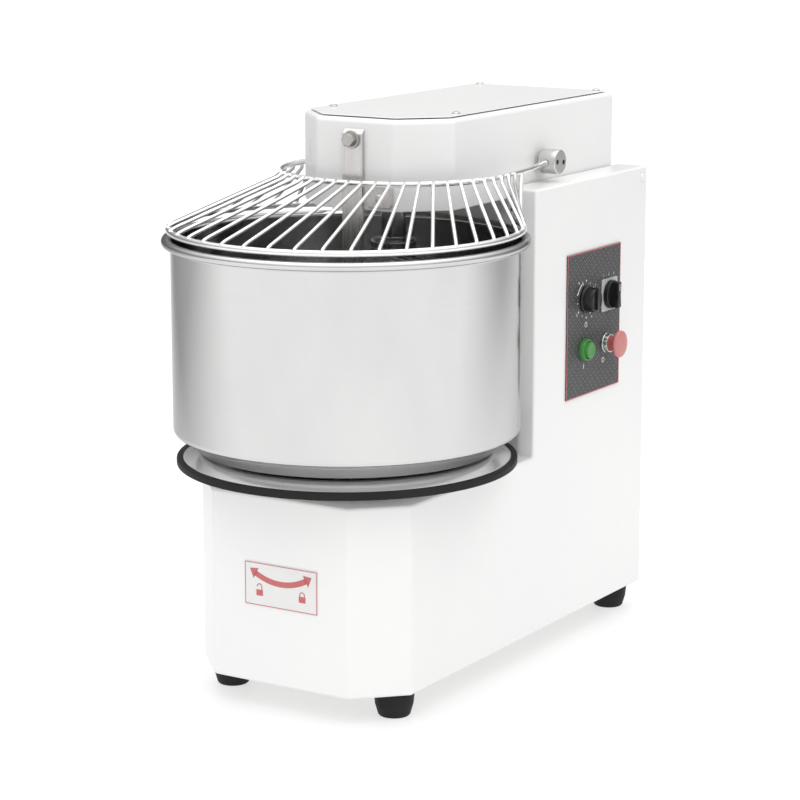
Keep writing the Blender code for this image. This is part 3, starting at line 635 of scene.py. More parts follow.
def make_bowl():
    """Spun steel with a rolled rim, and a conical bottom with a narrow step round it."""
    wall, sheet, curl = 0.1767, 0.0015, 0.0045
    floor, rim_z = BOWL_LOW.z, BOWL_HIGH.z - curl
    inner = wall - sheet
    corners = [(0, floor + sheet, 0), (0.1520, floor + sheet, 0.006), (0.1688, 0.2678, 0.003)]
    corners += [(inner, 0.2735, 0.0055), (inner, rim_z + 0.0012, 0.004)]
    corners += [(RIM - 0.0070, BOWL_HIGH.z - 0.0005, 0)]
    corners += [(x, z, 0) for x, z in arc(curl, 112, -125, 13, (RIM - curl, rim_z))]
    corners += [(wall, rim_z - 0.0065, 0.0015), (wall, 0.2700, 0.0068), (0.1706, 0.2662, 0.0012)]
    corners += [(0.1690, 0.2664, 0.0004), (0.1680, 0.2648, 0.0004), (0.1526, floor, 0.006), (0, floor, 0)]
    bowl = turned("steel_bowl", corners, (0, BOWL_Y, 0), "z", 192, 6)
    piece(bowl, BOWL_STEEL, "bowl", "satin_steel", "bowl")


def make_turntable():
    """A plate with a raised ring and three pegs, and a rubber edge that grips it."""
    outer, inner = TABLE_HIGH.x, TABLE_HIGH.x - 0.0035
    low, high = TABLE_LOW.z, TABLE_HIGH.z
    raised, tuck = high + 0.0058, inner - 0.0008
    plate = [(0, high - 0.0012, 0), (0.120, high - 0.0012, 0.002), (0.124, high - 0.0004, 0.002)]
    plate += [(0.144, raised, 0.003), (0.150, raised, 0.003), (inner - 0.0045, high - 0.0004, 0.001)]
    plate += [(tuck, high - 0.0010, 0.0004), (tuck, low + 0.0006, 0.0004), (0, low + 0.0006, 0)]
    disc = turned("turntable_disc", plate, (0, BOWL_Y, 0), "z", 128)
    peg_ring, peg_radius, peg_low, peg_high = 0.100, 0.004, 0.2405, 0.2490
    outline = [(0, peg_high, 0), (peg_radius, peg_high, 0.001), (peg_radius, peg_low, 0), (0, peg_low, 0)]
    pegs = []
    for index in range(3):
        x, y = polar(peg_ring, 90 + 120 * index)
        pegs.append(turned("peg", outline, (x, BOWL_Y + y, 0), "z", 24))
    combine(disc, pegs, "UNION")
    # The disc's lighter, half metallic steel carries a painted sheen.
    piece(disc, PLATE_STEEL_WITH_PAINTED_SHEEN, "turntable", "satin_steel", "turntable_plate", angle=30)
    trim = [(outer, high, 0.0016), (outer, low, 0.0016), (inner - 0.0006, low, 0.0004)]
    trim += [(inner - 0.0006, low + 0.0005, 0), (inner + 0.0003, low + 0.0006, 0)]
    trim += [(inner + 0.0003, high - 0.0006, 0), (inner - 0.003, high - 0.0004, 0)]
    trim += [(inner - 0.003, high, 0.0003)]
    edge = turned("rubber_trim", trim, (0, BOWL_Y, 0), "z", 128, 4, ring=True)
    piece(edge, RUBBER, "turntable", "black_rubber", "turntable_edge")


# ---------------- head


def make_head_shell():
    """Soft vertical bends, a rolled top edge, and a narrow key slot on the left cut corner."""
    plan = rounded(casing_plan(HEAD_LOW, HEAD_HIGH, HEAD_CHAMFER, 0.010), 6)
    shell = prism("head_shell", plan, HEAD_LOW.z, HEAD_HIGH.z - 0.0006)
    made = bmesh.new()
    made.from_mesh(shell.data)
    top = [e for e in made.edges if all(v.co.z > HEAD_HIGH.z - 0.001 for v in e.verts)]
    bmesh.ops.bevel(made, geom=top, offset=0.0055, segments=6, profile=0.5, affect="EDGES")
    bottom = [e for e in made.edges if all(v.co.z < HEAD_LOW.z + 0.0001 for v in e.verts)]
    bmesh.ops.bevel(made, geom=bottom, offset=0.0012, segments=2, profile=0.5, affect="EDGES")
    made.to_mesh(shell.data)
    made.free()
    inner = rounded(casing_plan(HEAD_LOW, HEAD_HIGH, HEAD_CHAMFER, 0.008, SHEET), 6)
    hollow = prism("head_hollow", inner, 0.4, HEAD_HIGH.z - SHEET - 0.0006)
    opening = casing_plan(HEAD_LOW, HEAD_HIGH, HEAD_CHAMFER, 0.004, 0.016)
    mouth = prism("mouth", rounded(opening, 4), 0.55, 0.65)
    pins = drill("pivots", 0.0043, -0.2, 0.2, HUB, "x")
    gap = block("pin_gap", (-0.2, HINGE.y - 0.007, 0.47), (0.2, 0.31, HINGE.z + 0.007))
    knuckle, apart = Vector((0.0115, 0, 0)), 0.07
    knuckles = []
    for x in (-apart, apart):
        near, far = Vector((x, 0.277, 0.47)), Vector((x, 0.31, 0.5015))
        knuckles.append(block("knuckle_gap", near - knuckle, far + knuckle))
    combine(shell, [hollow, mouth, pins, gap] + knuckles + key_slot_cutters())
    piece(shell, ENAMEL, "head", "white_paint", "head_housing", angle=30)


def key_slot_cutters():
    """A shallow oblong dish and a thin slit through its middle, on the left cut corner."""
    middle = Vector((HEAD_CHAMFER / 2 - HEAD_HIGH.x, HEAD_LOW.y + HEAD_CHAMFER / 2, 0.5423))
    upright = Matrix.Rotation(math.pi / 2, 4, "X")
    turn = Matrix.Translation(middle) @ Matrix.Rotation(-math.pi / 4, 4, "Z") @ upright
    cutters = []
    for width, height, low, high in ((0.0065, 0.0275, -0.0004, 0.02), (0.0016, 0.019, -0.02, 0.02)):
        half, tall = width / 2, height / 2
        bend = half * 0.95
        corners = [(half, -tall, bend), (half, tall, bend), (-half, tall, bend), (-half, -tall, bend)]
        cutter = prism("slot", rounded(corners, 5), low, high)
        cutter.data.transform(turn)
        cutters.append(cutter)
    return cutters


def make_head_lid():
    """The flat lid, and four screws with cross recesses."""
    low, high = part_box("head_lid")
    inset, radius, cross, slit = 0.0062, 0.0042, 0.0018, 0.0003
    plan = rounded(casing_plan(HEAD_LOW, HEAD_HIGH, HEAD_CHAMFER, 0.005, inset), 5)
    lid = prism("lid_plate", plan, low.z + 0.0002, high.z, 0.0005, 2)
    piece(lid, ENAMEL, "head", "white_paint", "head_lid", angle=30)
    for node in [f"lid_screw_{end}_{side}" for end in ("front", "rear") for side in ("left", "right")]:
        below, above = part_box(node)
        x, y = (below.x + above.x) / 2, (below.y + above.y) / 2
        corners = [(0, above.z, 0), (0.0026, above.z - 0.0003, 0.001), (radius, below.z + 0.0002, 0.0003)]
        corners += [(radius, below.z, 0), (0, below.z, 0)]
        screw = turned("screw_" + node, corners, (x, y, 0), "z", 32)
        low_z, high_z = above.z - 0.0008, above.z - 0.0008 + 0.01
        recess = block("cross", (x - cross, y - slit, low_z), (x + cross, y + slit, high_z))
        second = block("cross", (x - slit, y - cross, low_z), (x + slit, y + cross, high_z))
        combine(recess, [second], "UNION")
        combine(screw, [recess])
        piece(screw, ZINC, "head", "zinc_steel", node, weighted=False)


def make_breaker():
    """The flat bar has a sloping top end; its bolt has a pressed washer and a chamfered hexagon."""
    low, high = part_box("breaker_bar")
    slope = 0.0055
    bar = block("breaker_flat", low, high)
    for vert in bar.data.vertices:
        if vert.co.z > 0.5 and vert.co.y < (low.y + high.y) / 2:
            vert.co.z -= slope
    round_edges(bar, 0.0009, 2)
    piece(bar, SATIN, "head", "satin_steel", "breaker_bar", angle=30)

    below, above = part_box("breaker_bolt")
    centre = Vector(((below.x + above.x) / 2, above.y, (below.z + above.z) / 2))
    ring = [(0.0092, 0.0016, 0.0004), (0.0092, 0, 0.0003), (0.0035, 0, 0), (0.0035, 0.0016, 0)]
    washer = turned("washer", ring, centre, "-y", 48, ring=True)
    head = prism("hexagon", arc(0.0073, 0, 300, 6), 0.0017, 0.0084)
    cone = [(0, 0.0084, 0), (0.0058, 0.0084, 0), (0.0090, 0.0066, 0), (0.0090, 0.0, 0), (0, 0, 0)]
    combine(head, [turned("dome", cone, (0, 0, 0), "z", 48)], "INTERSECT")
    head.data.transform(facing_front(centre))
    bolt = merged("hex_bolt_and_washer", [washer, head])
    piece(bolt, ZINC, "head", "zinc_steel", "breaker_bolt", angle=25, weighted=False)


def make_guard_switch():
    """The small plate beside the bar, with its stud."""
    low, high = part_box("guard_switch")
    corners = [(low.x, low.z, 0.004), (high.x, low.z, 0.004), (high.x, high.z, 0.001), (low.x, high.z, 0.001)]
    plate = prism("switch_plate", rounded(corners, 4), 0, high.y - low.y - 0.001, 0.0006, 2)
    plate.data.transform(facing_front((0, high.y, 0)))
    middle = ((low.x + high.x) / 2, low.y + 0.0012, (low.z + high.z) / 2 - 0.001)
    dome = [(0, 0.0012, 0), (0.0032, 0.0010, 0.0008), (0.0045, 0.0, 0.0), (0.0045, -0.001, 0), (0, -0.001, 0)]
    stud = turned("stud", dome, middle, "-y", 32)
    plate = merged("guard_switch_plate", [plate, stud])
    piece(plate, SATIN, "head", "satin_steel", "guard_switch", angle=30)


# ---------------- spiral


def spiral_path():
    """From the middle of the flange outwards, then down in a helix whose end turns in."""
    reach, first, tuck, turns, count = 0.058, 0.034, 0.022, 1.25, 150
    top, bottom = 0.428, 0.272
    lead = ((0.0, top + 0.005), (0.006, top + 0.0045), (0.012, top + 0.003), (0.022, top + 0.001))
    points = [Vector((r, SPIRAL_Y, z)) for r, z in lead]
    for index in range(count + 1):
        share = index / count
        angle = TAU * turns * share
        radius = first + (reach - first) * smoothstep(share / 0.06) - tuck * smoothstep((share - 0.78) / 0.22)
        drop = top - (top - bottom) * min(1.0, share / 0.92) ** 0.95
        points.append(Vector((radius * math.cos(angle), SPIRAL_Y + radius * math.sin(angle), drop)))
    for _ in range(3):
        inner = [(a + b * 2 + c) / 4 for a, b, c in zip(points, points[1:], points[2:])]
        points = [points[0]] + inner + [points[-1]]
    return points


def make_spiral():
    """The spindle and its flange, and the forged rod with the flange it hangs from."""
    axis = (0, SPIRAL_Y, 0)
    low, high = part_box("spiral_shaft")
    corners = [(0, high.z, 0), (0.0125, high.z, 0.001), (0.0125, low.z + 0.0085, 0.002)]
    corners += [(0.0225, low.z + 0.0075, 0.001), (0.024, low.z + 0.0055, 0.001)]
    corners += [(0.024, low.z, 0.0005), (0, low.z, 0)]
    shaft = turned("spiral_spindle", corners, axis, "z", 64)
    piece(shaft, DARK_STEEL, "spiral", "satin_steel", "spiral_shaft")

    points = spiral_path()
    taper = [1.0] * (len(points) - 4) + [0.97, 0.88, 0.7, 0.35]
    rod = tube("spiral_rod", points, 0.0072, 20, taper=taper)
    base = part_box("spiral_hook")[1].z
    under = base - 0.0085
    corners = [(0, base, 0), (0.024, base, 0.0005), (0.024, base - 0.0062, 0.001)]
    flange = turned("hook_flange", corners + [(0.0115, under, 0.003), (0, under, 0)], axis, "z", 64)
    hook = combine(flange, [rod], "UNION")
    hook.name = "spiral_hook_rod"
    piece(hook, DARK_STEEL, "spiral", "satin_steel", "spiral_hook", angle=40, weighted=False)


# ---------------- guard


def guard_inner():
    """Right half of the inner rod's path, from the hub to the middle of the front, then mirrored."""
    low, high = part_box("guard_hub_right")
    middle = (low.x + high.x) / 2
    wide, front, shoulder = 0.120, -0.131, -0.026
    corners = [(middle, HUB.y - 0.0072, 0), (middle, HUB.y - 0.020, 0.02), (wide - 0.004, 0.055, 0.05)]
    right = rounded(corners + [(wide, 0.010, 0.05), (wide, shoulder, 0)], 6, closed=False)[:-1]
    depth = shoulder - front
    turn = [(x, shoulder + y * depth / wide) for x, y in arc(wide, 0, -180, 61)]
    flat = right + turn + [(-x, y) for x, y in reversed(right)]
    return [Vector((x, y, HUB.z - 0.002 * (HUB.y - y) / (HUB.y - front))) for x, y in flat]


def guard_outer():
    """The ring over the rim. Its ends sweep up in a tight bend to the inner rod."""
    flat = arc(RING_RADIUS, 48, -228, 141, (0.0, BOWL_Y))
    ring = [Vector((x, y, RING_Z)) for x, y in flat]
    x, y = flat[0]
    rise = [(0.0030, 0.0), (0.0062, 0.0007), (0.0088, 0.0024), (0.0105, 0.0050), (0.0114, 0.0085)]
    rise += [(0.0116, 0.014), (0.0118, 0.030), (0.0120, HUB.z - 0.0012 - RING_Z)]
    right = [Vector((x - 0.10 * dy, y + dy, RING_Z + dz)) for dy, dz in rise]
    right[-1].x = 0.1188
    left = [Vector((-p.x, p.y, p.z)) for p in right]
    return list(reversed(right)) + ring + left


def along(path, distance):
    """The point a distance along a path."""
    for near, far in zip(path, path[1:]):
        step = (far - near).length
        if distance <= step:
            return near.lerp(far, distance / step)
        distance -= step
    return path[-1]


def guard_wires():
    """Straight wires, evenly spread on the inner rod's bend and on the outer ring, ends tucked over both."""
    inner = guard_inner()
    first = next(i for i, p in enumerate(inner) if p.y < 0.010 + 1e-6)
    bend = inner[first:len(inner) - first]
    total = sum((b - a).length for a, b in zip(bend, bend[1:]))
    count, first_angle, spread = 31, 39.4, 258.8
    up = Vector((0, 0, 1))
    for index in range(count):
        share = index / (count - 1)
        start_at = along(bend, total * share) + up * 0.0009
        x, y = polar(RING_RADIUS, first_angle - spread * share, (0.0, BOWL_Y))
        end_at = Vector((x, y, RING_Z + 0.0034))
        lean = (end_at - start_at).normalized()
        flat = Vector((lean.x, lean.y, 0)).normalized()
        upper = [start_at, start_at + flat * 0.0032, start_at + flat * 0.0062 - up * 0.0007]
        lower = [end_at - lean * 0.006 + up * 0.0004, end_at - flat * 0.0005]
        yield upper + [start_at + lean * 0.011] + lower + [end_at + flat * 0.0016 - up * 0.0016]


def weld_bead(spot, size):
    made = bmesh.new()
    bmesh.ops.create_uvsphere(made, u_segments=8, v_segments=6, radius=size)
    bmesh.ops.scale(made, vec=(1.0, 1.0, 0.7), verts=made.verts)
    bmesh.ops.translate(made, vec=spot, verts=made.verts)
    return mesh_object("bead", made)


def make_guard():
    pieces = [tube("inner", guard_inner(), INNER_ROD, 16), tube("outer", guard_outer(), OUTER_ROD, 16)]
    for path in guard_wires():
        pieces.append(tube("wire", path, WIRE_ROD, 10))
        pieces.append(weld_bead(path[1] - Vector((0, 0, 0.0008)), 0.0025))
        pieces.append(weld_bead(path[5] - Vector((0, 0, 0.0014)), 0.0028))
    grid = merged("wire_guard", pieces)
    piece(grid, WIRE, "guard", "bright_steel", "guard_grid", angle=60, weighted=False)
    magnet = block("guard_magnet", (0.1118, 0.0205, 0.4835), (0.1178, 0.0265, 0.4905), 0.0008, 2)
    piece(magnet, BLACK, "guard", "black_plastic")

    for side, sign, way in (("left", -1, "-x"), ("right", 1, "x")):
        make_hub(side, sign, way)


def make_hub(side, sign, way):
    """A steel hub with two pin holes in its end, a socket for the rod and a bore for the pivot."""
    low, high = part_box("guard_hub_" + side)
    start_x, end_x = sorted((abs(low.x), abs(high.x)))
    radius, bore, bore_end = (high.z - low.z) / 2, 0.0043, 0.1133
    corners = [(0, end_x, 0), (radius - 0.0009, end_x, 0.0003), (radius, end_x - 0.0009, 0.0003)]
    corners += [(radius, start_x + 0.0005, 0.0004), (radius - 0.0006, start_x, 0), (bore, start_x, 0)]
    corners += [(bore, bore_end, 0), (0, bore_end, 0)]
    hub = turned("steel_hub_" + side, corners, (0, HUB.y, HUB.z), way, 64)
    cutters = []
    for offset in (-0.0067, 0.0067):
        spot = (sign * end_x, HUB.y + offset, HUB.z - offset * 0.1)
        cutters.append(drill("pin_hole", 0.0026, -0.006, 0.006, spot, "x"))
    mouth = (sign * (start_x + end_x) / 2, HUB.y - 0.006, HUB.z)
    cutters.append(drill("socket", INNER_ROD + 0.0003, 0.0, 0.012, mouth, "-y"))
    combine(hub, cutters)
    piece(hub, TURNED, "guard", "satin_steel", "guard_hub_" + side, angle=30, weighted=False)


# ---------------- control panel and label

def on_panel(obj, height=0.0):
    """Carries a flat drawing, x to the right and y up, onto the panel's face."""
    obj.data.transform(facing_right(FACE + height))
    return obj


def on_front(obj, depth):
    """Carries a flat drawing onto a plane that faces the front."""
    turn = Matrix(((1, 0, 0, 0), (0, 0, -1, depth), (0, 1, 0, 0), (0, 0, 0, 1)))
    obj.data.transform(turn)
    return obj


def frame_outline(name, low, high, width):
    """A printed rectangle's line."""
    (x0, y0), (x1, y1) = low, high
    outer = prism(name, oblong(low, high), 0, INK)
    inner = prism("hole", oblong((x0 + width, y0 + width), (x1 - width, y1 - width)), -1, 1)
    return combine(outer, [inner])


def digits(text, x, y, size):
    data = bpy.data.curves.new("digits", "FONT")
    data.body = text
    data.size = size
    data.align_x = "CENTER"
    data.align_y = "CENTER"
    data.extrude = INK / 2
    guide = bpy.data.objects.new("digits_guide", data)
    bpy.context.scene.collection.objects.link(guide)
    mesh = evaluated_mesh(guide)
    bpy.data.objects.remove(guide)
    mesh.transform(Matrix.Translation((x, y, INK / 2)))
    obj = bpy.data.objects.new("digits", mesh)
    bpy.context.scene.collection.objects.link(obj)
    return obj


def band(name, radius, width, start_deg, end_deg, centre):
    outer = arc(radius + width / 2, start_deg, end_deg, 25, centre)
    inner = arc(radius - width / 2, end_deg, start_deg, 25, centre)
    return prism(name, outer + inner, 0, INK)


def tick(centre, angle, near, far, width):
    x, y = centre
    out = Vector((math.cos(math.radians(angle)), math.sin(math.radians(angle))))
    side = Vector((-out.y, out.x)) * width / 2
    middle = Vector((x, y))
    near, far = middle + out * near, middle + out * far
    return prism("tick", [tuple(p) for p in (near - side, far - side, far + side, near + side)], 0, INK)


def timer_marks():
    """The dial's scale: a band at its start, pointers and ticks in turn, and minutes."""
    marks = [band("band", 0.0192, 0.0016, 118, 158, TIMER), tick(TIMER, 112, 0.0175, 0.0212, 0.0016)]
    for step in range(11):
        angle = 88 - 29 * step
        if step % 2:
            marks.append(tick(TIMER, angle, 0.0180, 0.0196, 0.0012))
        else:
            wide = [polar(0.0212, angle + side, TIMER) for side in (-4.0, 4.0)]
            marks.append(prism("pointer", [polar(0.0182, angle, TIMER)] + wide, 0, INK))
    lowest, furthest = 0.352, SPEED[0] - 0.020
    for step, text in enumerate(("5", "10", "15", "20")):
        x, y = polar(0.0248, 30 - 87 * step, TIMER)
        if y > lowest and x < furthest:
            marks.append(digits(text, x, y, 0.0036))
    return marks


def make_panel():
    """The film with its woven print, a red border, and generic white marks."""
    plate = block("panel_plate", PANEL_LOW, PANEL_HIGH, 0.0003, 1)
    piece(plate, FILM, "frame", "panel_film", "control_panel", angle=30)
    low, high = (PANEL_LOW.y, PANEL_LOW.z), (PANEL_HIGH.y, PANEL_HIGH.z)
    border = on_panel(frame_outline("panel_border", low, high, 0.0011))
    piece(border, RED_INK, "frame", "panel_film", angle=30, weighted=False)

    marks = timer_marks()
    for text, across in (("1", -0.0115), ("0", 0.0), ("2", 0.0115)):
        marks.append(digits(text, SPEED[0] + across, SPEED[1] + 0.0212, 0.0040))
    below, half, tall = START[1] - 0.0185, 0.0006, 0.0026
    sign = oblong((START[0] - half, below - tall), (START[0] + half, below + tall))
    marks.append(prism("start_sign", sign, 0, INK))
    marks.append(band("stop_sign", 0.0024, 0.0010, 0, 359.9, (STOP[0] - 0.004, below)))
    clock = (TIMER[0] + 0.001, TIMER[1] - 0.0275)
    marks.append(band("clock", 0.0026, 0.0007, 0, 359.9, clock))
    marks += [tick(clock, 90, 0.0, 0.0019, 0.0006), tick(clock, 0, 0.0, 0.0014, 0.0006)]
    ink = on_panel(merged("panel_marks", marks), INK_GAP)
    piece(ink, WHITE_INK, "frame", "label_film", angle=30, weighted=False)


def make_timer():
    """The round timer knob with its ridge and white dot."""
    low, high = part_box("timer_knob")
    tall, wide = high.x - low.x, TIMER_RADIUS
    corners = [(0, tall - 0.0022, 0), (0.0098, tall - 0.0022, 0.0006), (0.0106, tall - 0.0014, 0.0008)]
    corners += [(0.0126, tall - 0.0026, 0.0022), (0.0134, 0.0032, 0.0006), (wide, 0.0018, 0.0006)]
    corners += [(wide, 0, 0.0003), (0, 0, 0)]
    knob = turned("timer_grip", corners, (low.x, *TIMER), "x", 96)
    y, z = TIMER
    half = 0.0018
    ridge = block("ridge", (low.x + 0.003, y - half, z - 0.0100), (high.x, y + half, z + 0.0136), 0.0008, 3)
    combine(knob, [ridge], "UNION")
    piece(knob, BLACK, "timer", "black_plastic", "timer_knob", angle=30, weighted=False)
    dot_at = (high.x - 0.00012, y, z + 0.0115)
    dot_mark = drill("timer_dot", 0.0010, -0.0004, 0.0001, dot_at, "x", 20)
    piece(dot_mark, WHITE_INK, "timer", "label_film", weighted=False)


def make_selector():
    """The speed selector: a square plate, a flat dial and a waisted grip with a white line."""
    low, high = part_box("speed_plate")
    outline = oblong((low.y, low.z), (high.y, high.z), 0.0018)
    plate = prism("selector_plate", outline, 0, high.x - low.x, 0.0004, 2)
    plate.data.transform(facing_right(low.x))
    piece(plate, GREY, "frame", "grey_plastic", "speed_plate", angle=30)
    low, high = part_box("speed_knob")
    corners = [(0, 0.0036, 0), (0.0118, 0.0036, 0.0005), (0.0130, 0.0050, 0.0005), (0.0150, 0.0050, 0.0008)]
    corners += [(0.0155, 0.0040, 0.0006), (0.0155, 0, 0.0003), (0, 0, 0)]
    knob = turned("selector_dial", corners, (low.x, *SPEED), "x", 96)
    waist = [(0.0030, 0, 0.004), (0.0043, 0.0143, 0.002), (-0.0043, 0.0143, 0.002)]
    waist += [(-x, -y, r) for x, y, r in waist]
    grip = prism("grip", rounded(waist, 5), 0.001, high.x - low.x, 0.0009, 3)
    grip.data.transform(facing_right(low.x, *SPEED))
    combine(knob, [grip], "UNION")
    piece(knob, BLACK, "speed", "black_plastic", "speed_knob", angle=30, weighted=False)
    y, z = SPEED
    half = 0.0005
    near, far = (high.x - 0.0001, y - half, z + 0.0045), (high.x + 0.00008, y + half, z + 0.0122)
    line = block("selector_line", near, far)
    piece(line, WHITE_INK, "speed", "label_film", weighted=False)


def make_buttons():
    """The start button and the mushroom stop, with what they stand in."""
    for node, name, body, material, slot, corners in button_turnings():
        low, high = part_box(node)
        middle = (low.x, (low.y + high.y) / 2, (low.z + high.z) / 2)
        closed = corners[0][0] > 0
        made = turned(name, corners, middle, "x", 96, 4, ring=closed)
        piece(made, material, body, slot, node, angle=35, weighted=False)


def button_turnings():
    """Each turned control: CAD node, name, body, material, slot, and corners above the node's low face."""
    names = ("start_bezel", "start_button", "stop_collar", "stop_stem", "stop_cap")
    tall = {n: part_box(n)[1].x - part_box(n)[0].x for n in names}
    wide = {n: (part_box(n)[1].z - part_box(n)[0].z) / 2 for n in names}
    h, r = tall["start_bezel"], wide["start_bezel"]
    bezel = [(0.0098, 0, 0), (0.0098, h, 0.0004), (r - 0.0006, h, 0.0007)]
    bezel += [(r, 0.0026, 0.0006), (r, 0, 0.0003)]
    yield "start_bezel", "start_surround", "frame", GREEN, "black_plastic", bezel
    h, r = tall["start_button"], wide["start_button"]
    button = [(0, h - 0.0005, 0), (0.0050, h - 0.0005, 0.0003), (0.0056, h, 0.0003)]
    button += [(r - 0.0007, h, 0.0008), (r - 0.0004, 0, 0), (0, 0, 0)]
    yield "start_button", "start_lens", "start", GREEN, "green_plastic", button
    h, r = tall["stop_collar"], wide["stop_collar"]
    collar = [(0.0085, 0, 0), (0.0085, h, 0.0003), (r - 0.0010, h, 0.0006)]
    collar += [(r - 0.0004, 0.0026, 0.0003), (r, 0.0020, 0.0003), (r, 0, 0.0002)]
    yield "stop_collar", "stop_ring", "frame", TURNED, "satin_steel", collar
    h, r = tall["stop_stem"], wide["stop_stem"]
    stem = [(0, h, 0), (r, h, 0.0003), (r, 0, 0.0002), (0, 0, 0)]
    # The neck takes the darker red, painted shade under the mushroom.
    yield "stop_stem", "stop_neck", "stop_stem", RED, "black_plastic", stem
    h, r = tall["stop_cap"], wide["stop_cap"]
    cap = [(0, h, 0), (0.0095, h - 0.0003, 0.004), (r - 0.0007, h - 0.0010, 0.0016), (r, h - 0.0026, 0.0008)]
    cap += [(r, 0.0022, 0.0012), (r - 0.0022, 0.0004, 0.0012), (0.0092, 0, 0.0003), (0, 0, 0)]
    # The cap takes the lighter red, painted light on its face.
    yield "stop_cap", "stop_mushroom", "stop_cap", RED_LIT_CAP, "red_plastic", cap


def padlock(x, z, opened):
    """A padlock's body, bow and legs round its middle. The left leg of an open one is short."""
    half, tall, bow, line = 0.0040, 0.0031, 0.0027, 0.00055
    shift = 0.0016 if opened else 0.0
    marks = [prism("lock", oblong((x - half, z - tall), (x + half, z + tall), 0.0005), 0, INK)]
    marks.append(band("bow", bow, line * 2, 0, 180, (x, z + 0.0048 + shift)))
    for side in (-1, 1):
        foot = z + 0.0060 if opened and side < 0 else z + 0.0028
        edge = x + side * bow
        leg = oblong((edge - line, foot), (edge + line, z + 0.0049 + shift))
        marks.append(prism("leg", leg, 0, INK))
    return marks


def make_label():
    """The sticker in front: thin border, a double arrow that sags, an open and a closed padlock."""
    low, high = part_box("lock_label")
    sheet = block("label_sheet", low, high, 0.0001, 1)
    piece(sheet, LABEL, "frame", "label_film", "lock_label", angle=30)
    margin = 0.0004
    corners = (low.x + margin, low.z + margin), (high.x - margin, high.z - margin)
    drawing = [frame_outline("border", *corners, 0.0008)]
    radius, width, reach, barb = 0.062, 0.0058, 29, 0.0064
    across = (low.x + high.x) / 2
    centre = (across, high.z - 0.0190 + radius)
    drawing.append(band("bow", radius, width, -90 - reach, -90 + reach, centre))
    for sign in (-1, 1):
        angle = -90 + sign * reach
        tip = polar(radius, angle + sign * 7.5, centre)
        outer = polar(radius + barb, angle - sign * 0.5, centre)
        inner = polar(radius - barb, angle - sign * 0.5, centre)
        drawing.append(prism("arrow", [tip, outer, inner], 0, INK))
    for side, opened in ((-1, True), (1, False)):
        drawing += padlock(across + side * 0.0255, low.z + 0.0135, opened)
    ink = on_front(merged("label_drawing", drawing), low.y - INK_GAP)
    piece(ink, RED_INK, "frame", "label_film", angle=30, weighted=False)


# ---------------- what keeps its CAD shape


def paint_cad_nodes():
    """Gives every node that keeps its CAD shape the material of its slot."""
    by_slot = {
        "white_paint": ENAMEL,
        "satin_steel": SATIN,
        "bright_steel": WIRE,
        "zinc_steel": ZINC,
        "cast_iron": IRON,
        "black_rubber": RUBBER,
        "black_plastic": BLACK,
        "panel_film": FILM,
        "grey_plastic": GREY,
        "green_plastic": GREEN,
        "red_plastic": RED,
        "label_film": LABEL,
    }
    for entry in frame["record"]["subparts"]:
        obj = frame["nodes"][entry["node"]]
        material = by_slot[entry["material_slot"]]
        for slot in obj.material_slots:
            slot.material = material


# ---------------- stage


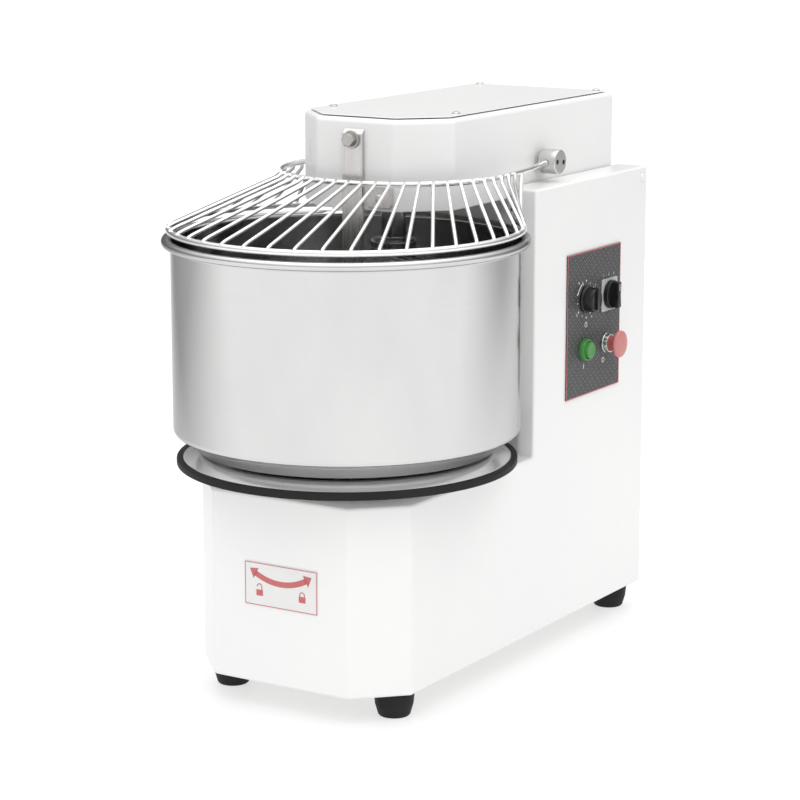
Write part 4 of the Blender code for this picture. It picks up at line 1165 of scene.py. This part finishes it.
def make_stage():
    """A pale floor that glows, which lifts the machine's shadows on it and lights the machine from below. It
    dims behind the machine, to the left and right of what the camera sees.
    """
    made, tree, shader = start("pale_floor", 0.5)
    where = place(tree)
    drift = remap(tree, noise(tree, where, 2.0, 3.0), 0.0, 1.0)
    ahead = dot(tree, where, VIEW_AHEAD)
    aside = dot(tree, where, VIEW_ASIDE)
    right = maths(tree, "MULTIPLY", aside, RIGHT_SHARE)
    left = maths(tree, "MULTIPLY", aside, -1.0)
    beyond = maths(tree, "MULTIPLY_ADD", ahead, VIEW_NARROWING, maths(tree, "MAXIMUM", right, left))
    far = remap(tree, ahead, 0.0, 1.0, -0.6, 1.2)
    side = remap(tree, beyond, 0.0, 1.0, 0.55, 1.2)
    dim = maths(tree, "MULTIPLY", far, side)
    white = blend_colours(tree, drift, (FLOOR_WHITE,) * 3, (FLOOR_WHITE * 1.03,) * 3)
    colour = blend_colours(tree, dim, white, (FLOOR_WHITE * FLOOR_DIM,) * 3)
    set_input(tree, shader, "Base Color", colour)
    set_input(tree, shader, "Emission Color", blend_colours(tree, dim, (1.0,) * 3, (FLOOR_DIM,) * 3))
    shader.inputs["Emission Strength"].default_value = FLOOR_GLOW
    floor = prism("floor", arc(FLOOR_RADIUS, 0, 357, 120), -0.02, 0.0)
    floor.data.materials.append(made)


def make_sky():
    """A white tent: brightest overhead and behind the camera, dimmer low down on the far side."""
    world = bpy.data.worlds.new("studio")
    bpy.context.scene.world = world
    world.use_nodes = True
    tree = world.node_tree
    way = add(tree, "ShaderNodeTexCoord").outputs["Generated"]
    low = remap(tree, dot(tree, way, VIEW_BACK), *SKY_LOW, -0.6, 0.9)
    up = add(tree, "ShaderNodeSeparateXYZ", {"Vector": way}).outputs["Z"]
    share = maths(tree, "MULTIPLY", up, up)
    level = add(tree, "ShaderNodeMix", {"Factor": share, "A": low, "B": SKY_TOP}).outputs["Result"]
    background = tree.nodes["Background"]
    background.inputs["Color"].default_value = (1.0, 1.0, 1.0, 1.0)
    tree.links.new(level, background.inputs["Strength"])


def make_camera():
    """The camera stands to the right of the front, a little above the head."""
    flat = math.cos(CAMERA_RISE)
    back = Vector((math.sin(CAMERA_TURN) * flat, -math.cos(CAMERA_TURN) * flat, math.sin(CAMERA_RISE)))
    data = bpy.data.cameras.new("camera")
    data.lens = CAMERA_LENS
    data.sensor_width = CAMERA_SENSOR
    camera = bpy.data.objects.new("camera", data)
    camera.location = CAMERA_AT
    camera.rotation_euler = back.to_track_quat("Z", "Y").to_euler()
    bpy.context.scene.collection.objects.link(camera)
    bpy.context.scene.camera = camera


bpy.context.scene.view_settings.view_transform = "Standard"
make_camera()
paint_cad_nodes()
make_body_shell()
make_rear_cover()
make_hinge_pin()
make_feet()
make_bowl()
make_turntable()
make_head_shell()
make_head_lid()
make_breaker()
make_guard_switch()
make_spiral()
make_guard()
make_panel()
make_timer()
make_selector()
make_buttons()
make_label()
make_stage()
make_sky()
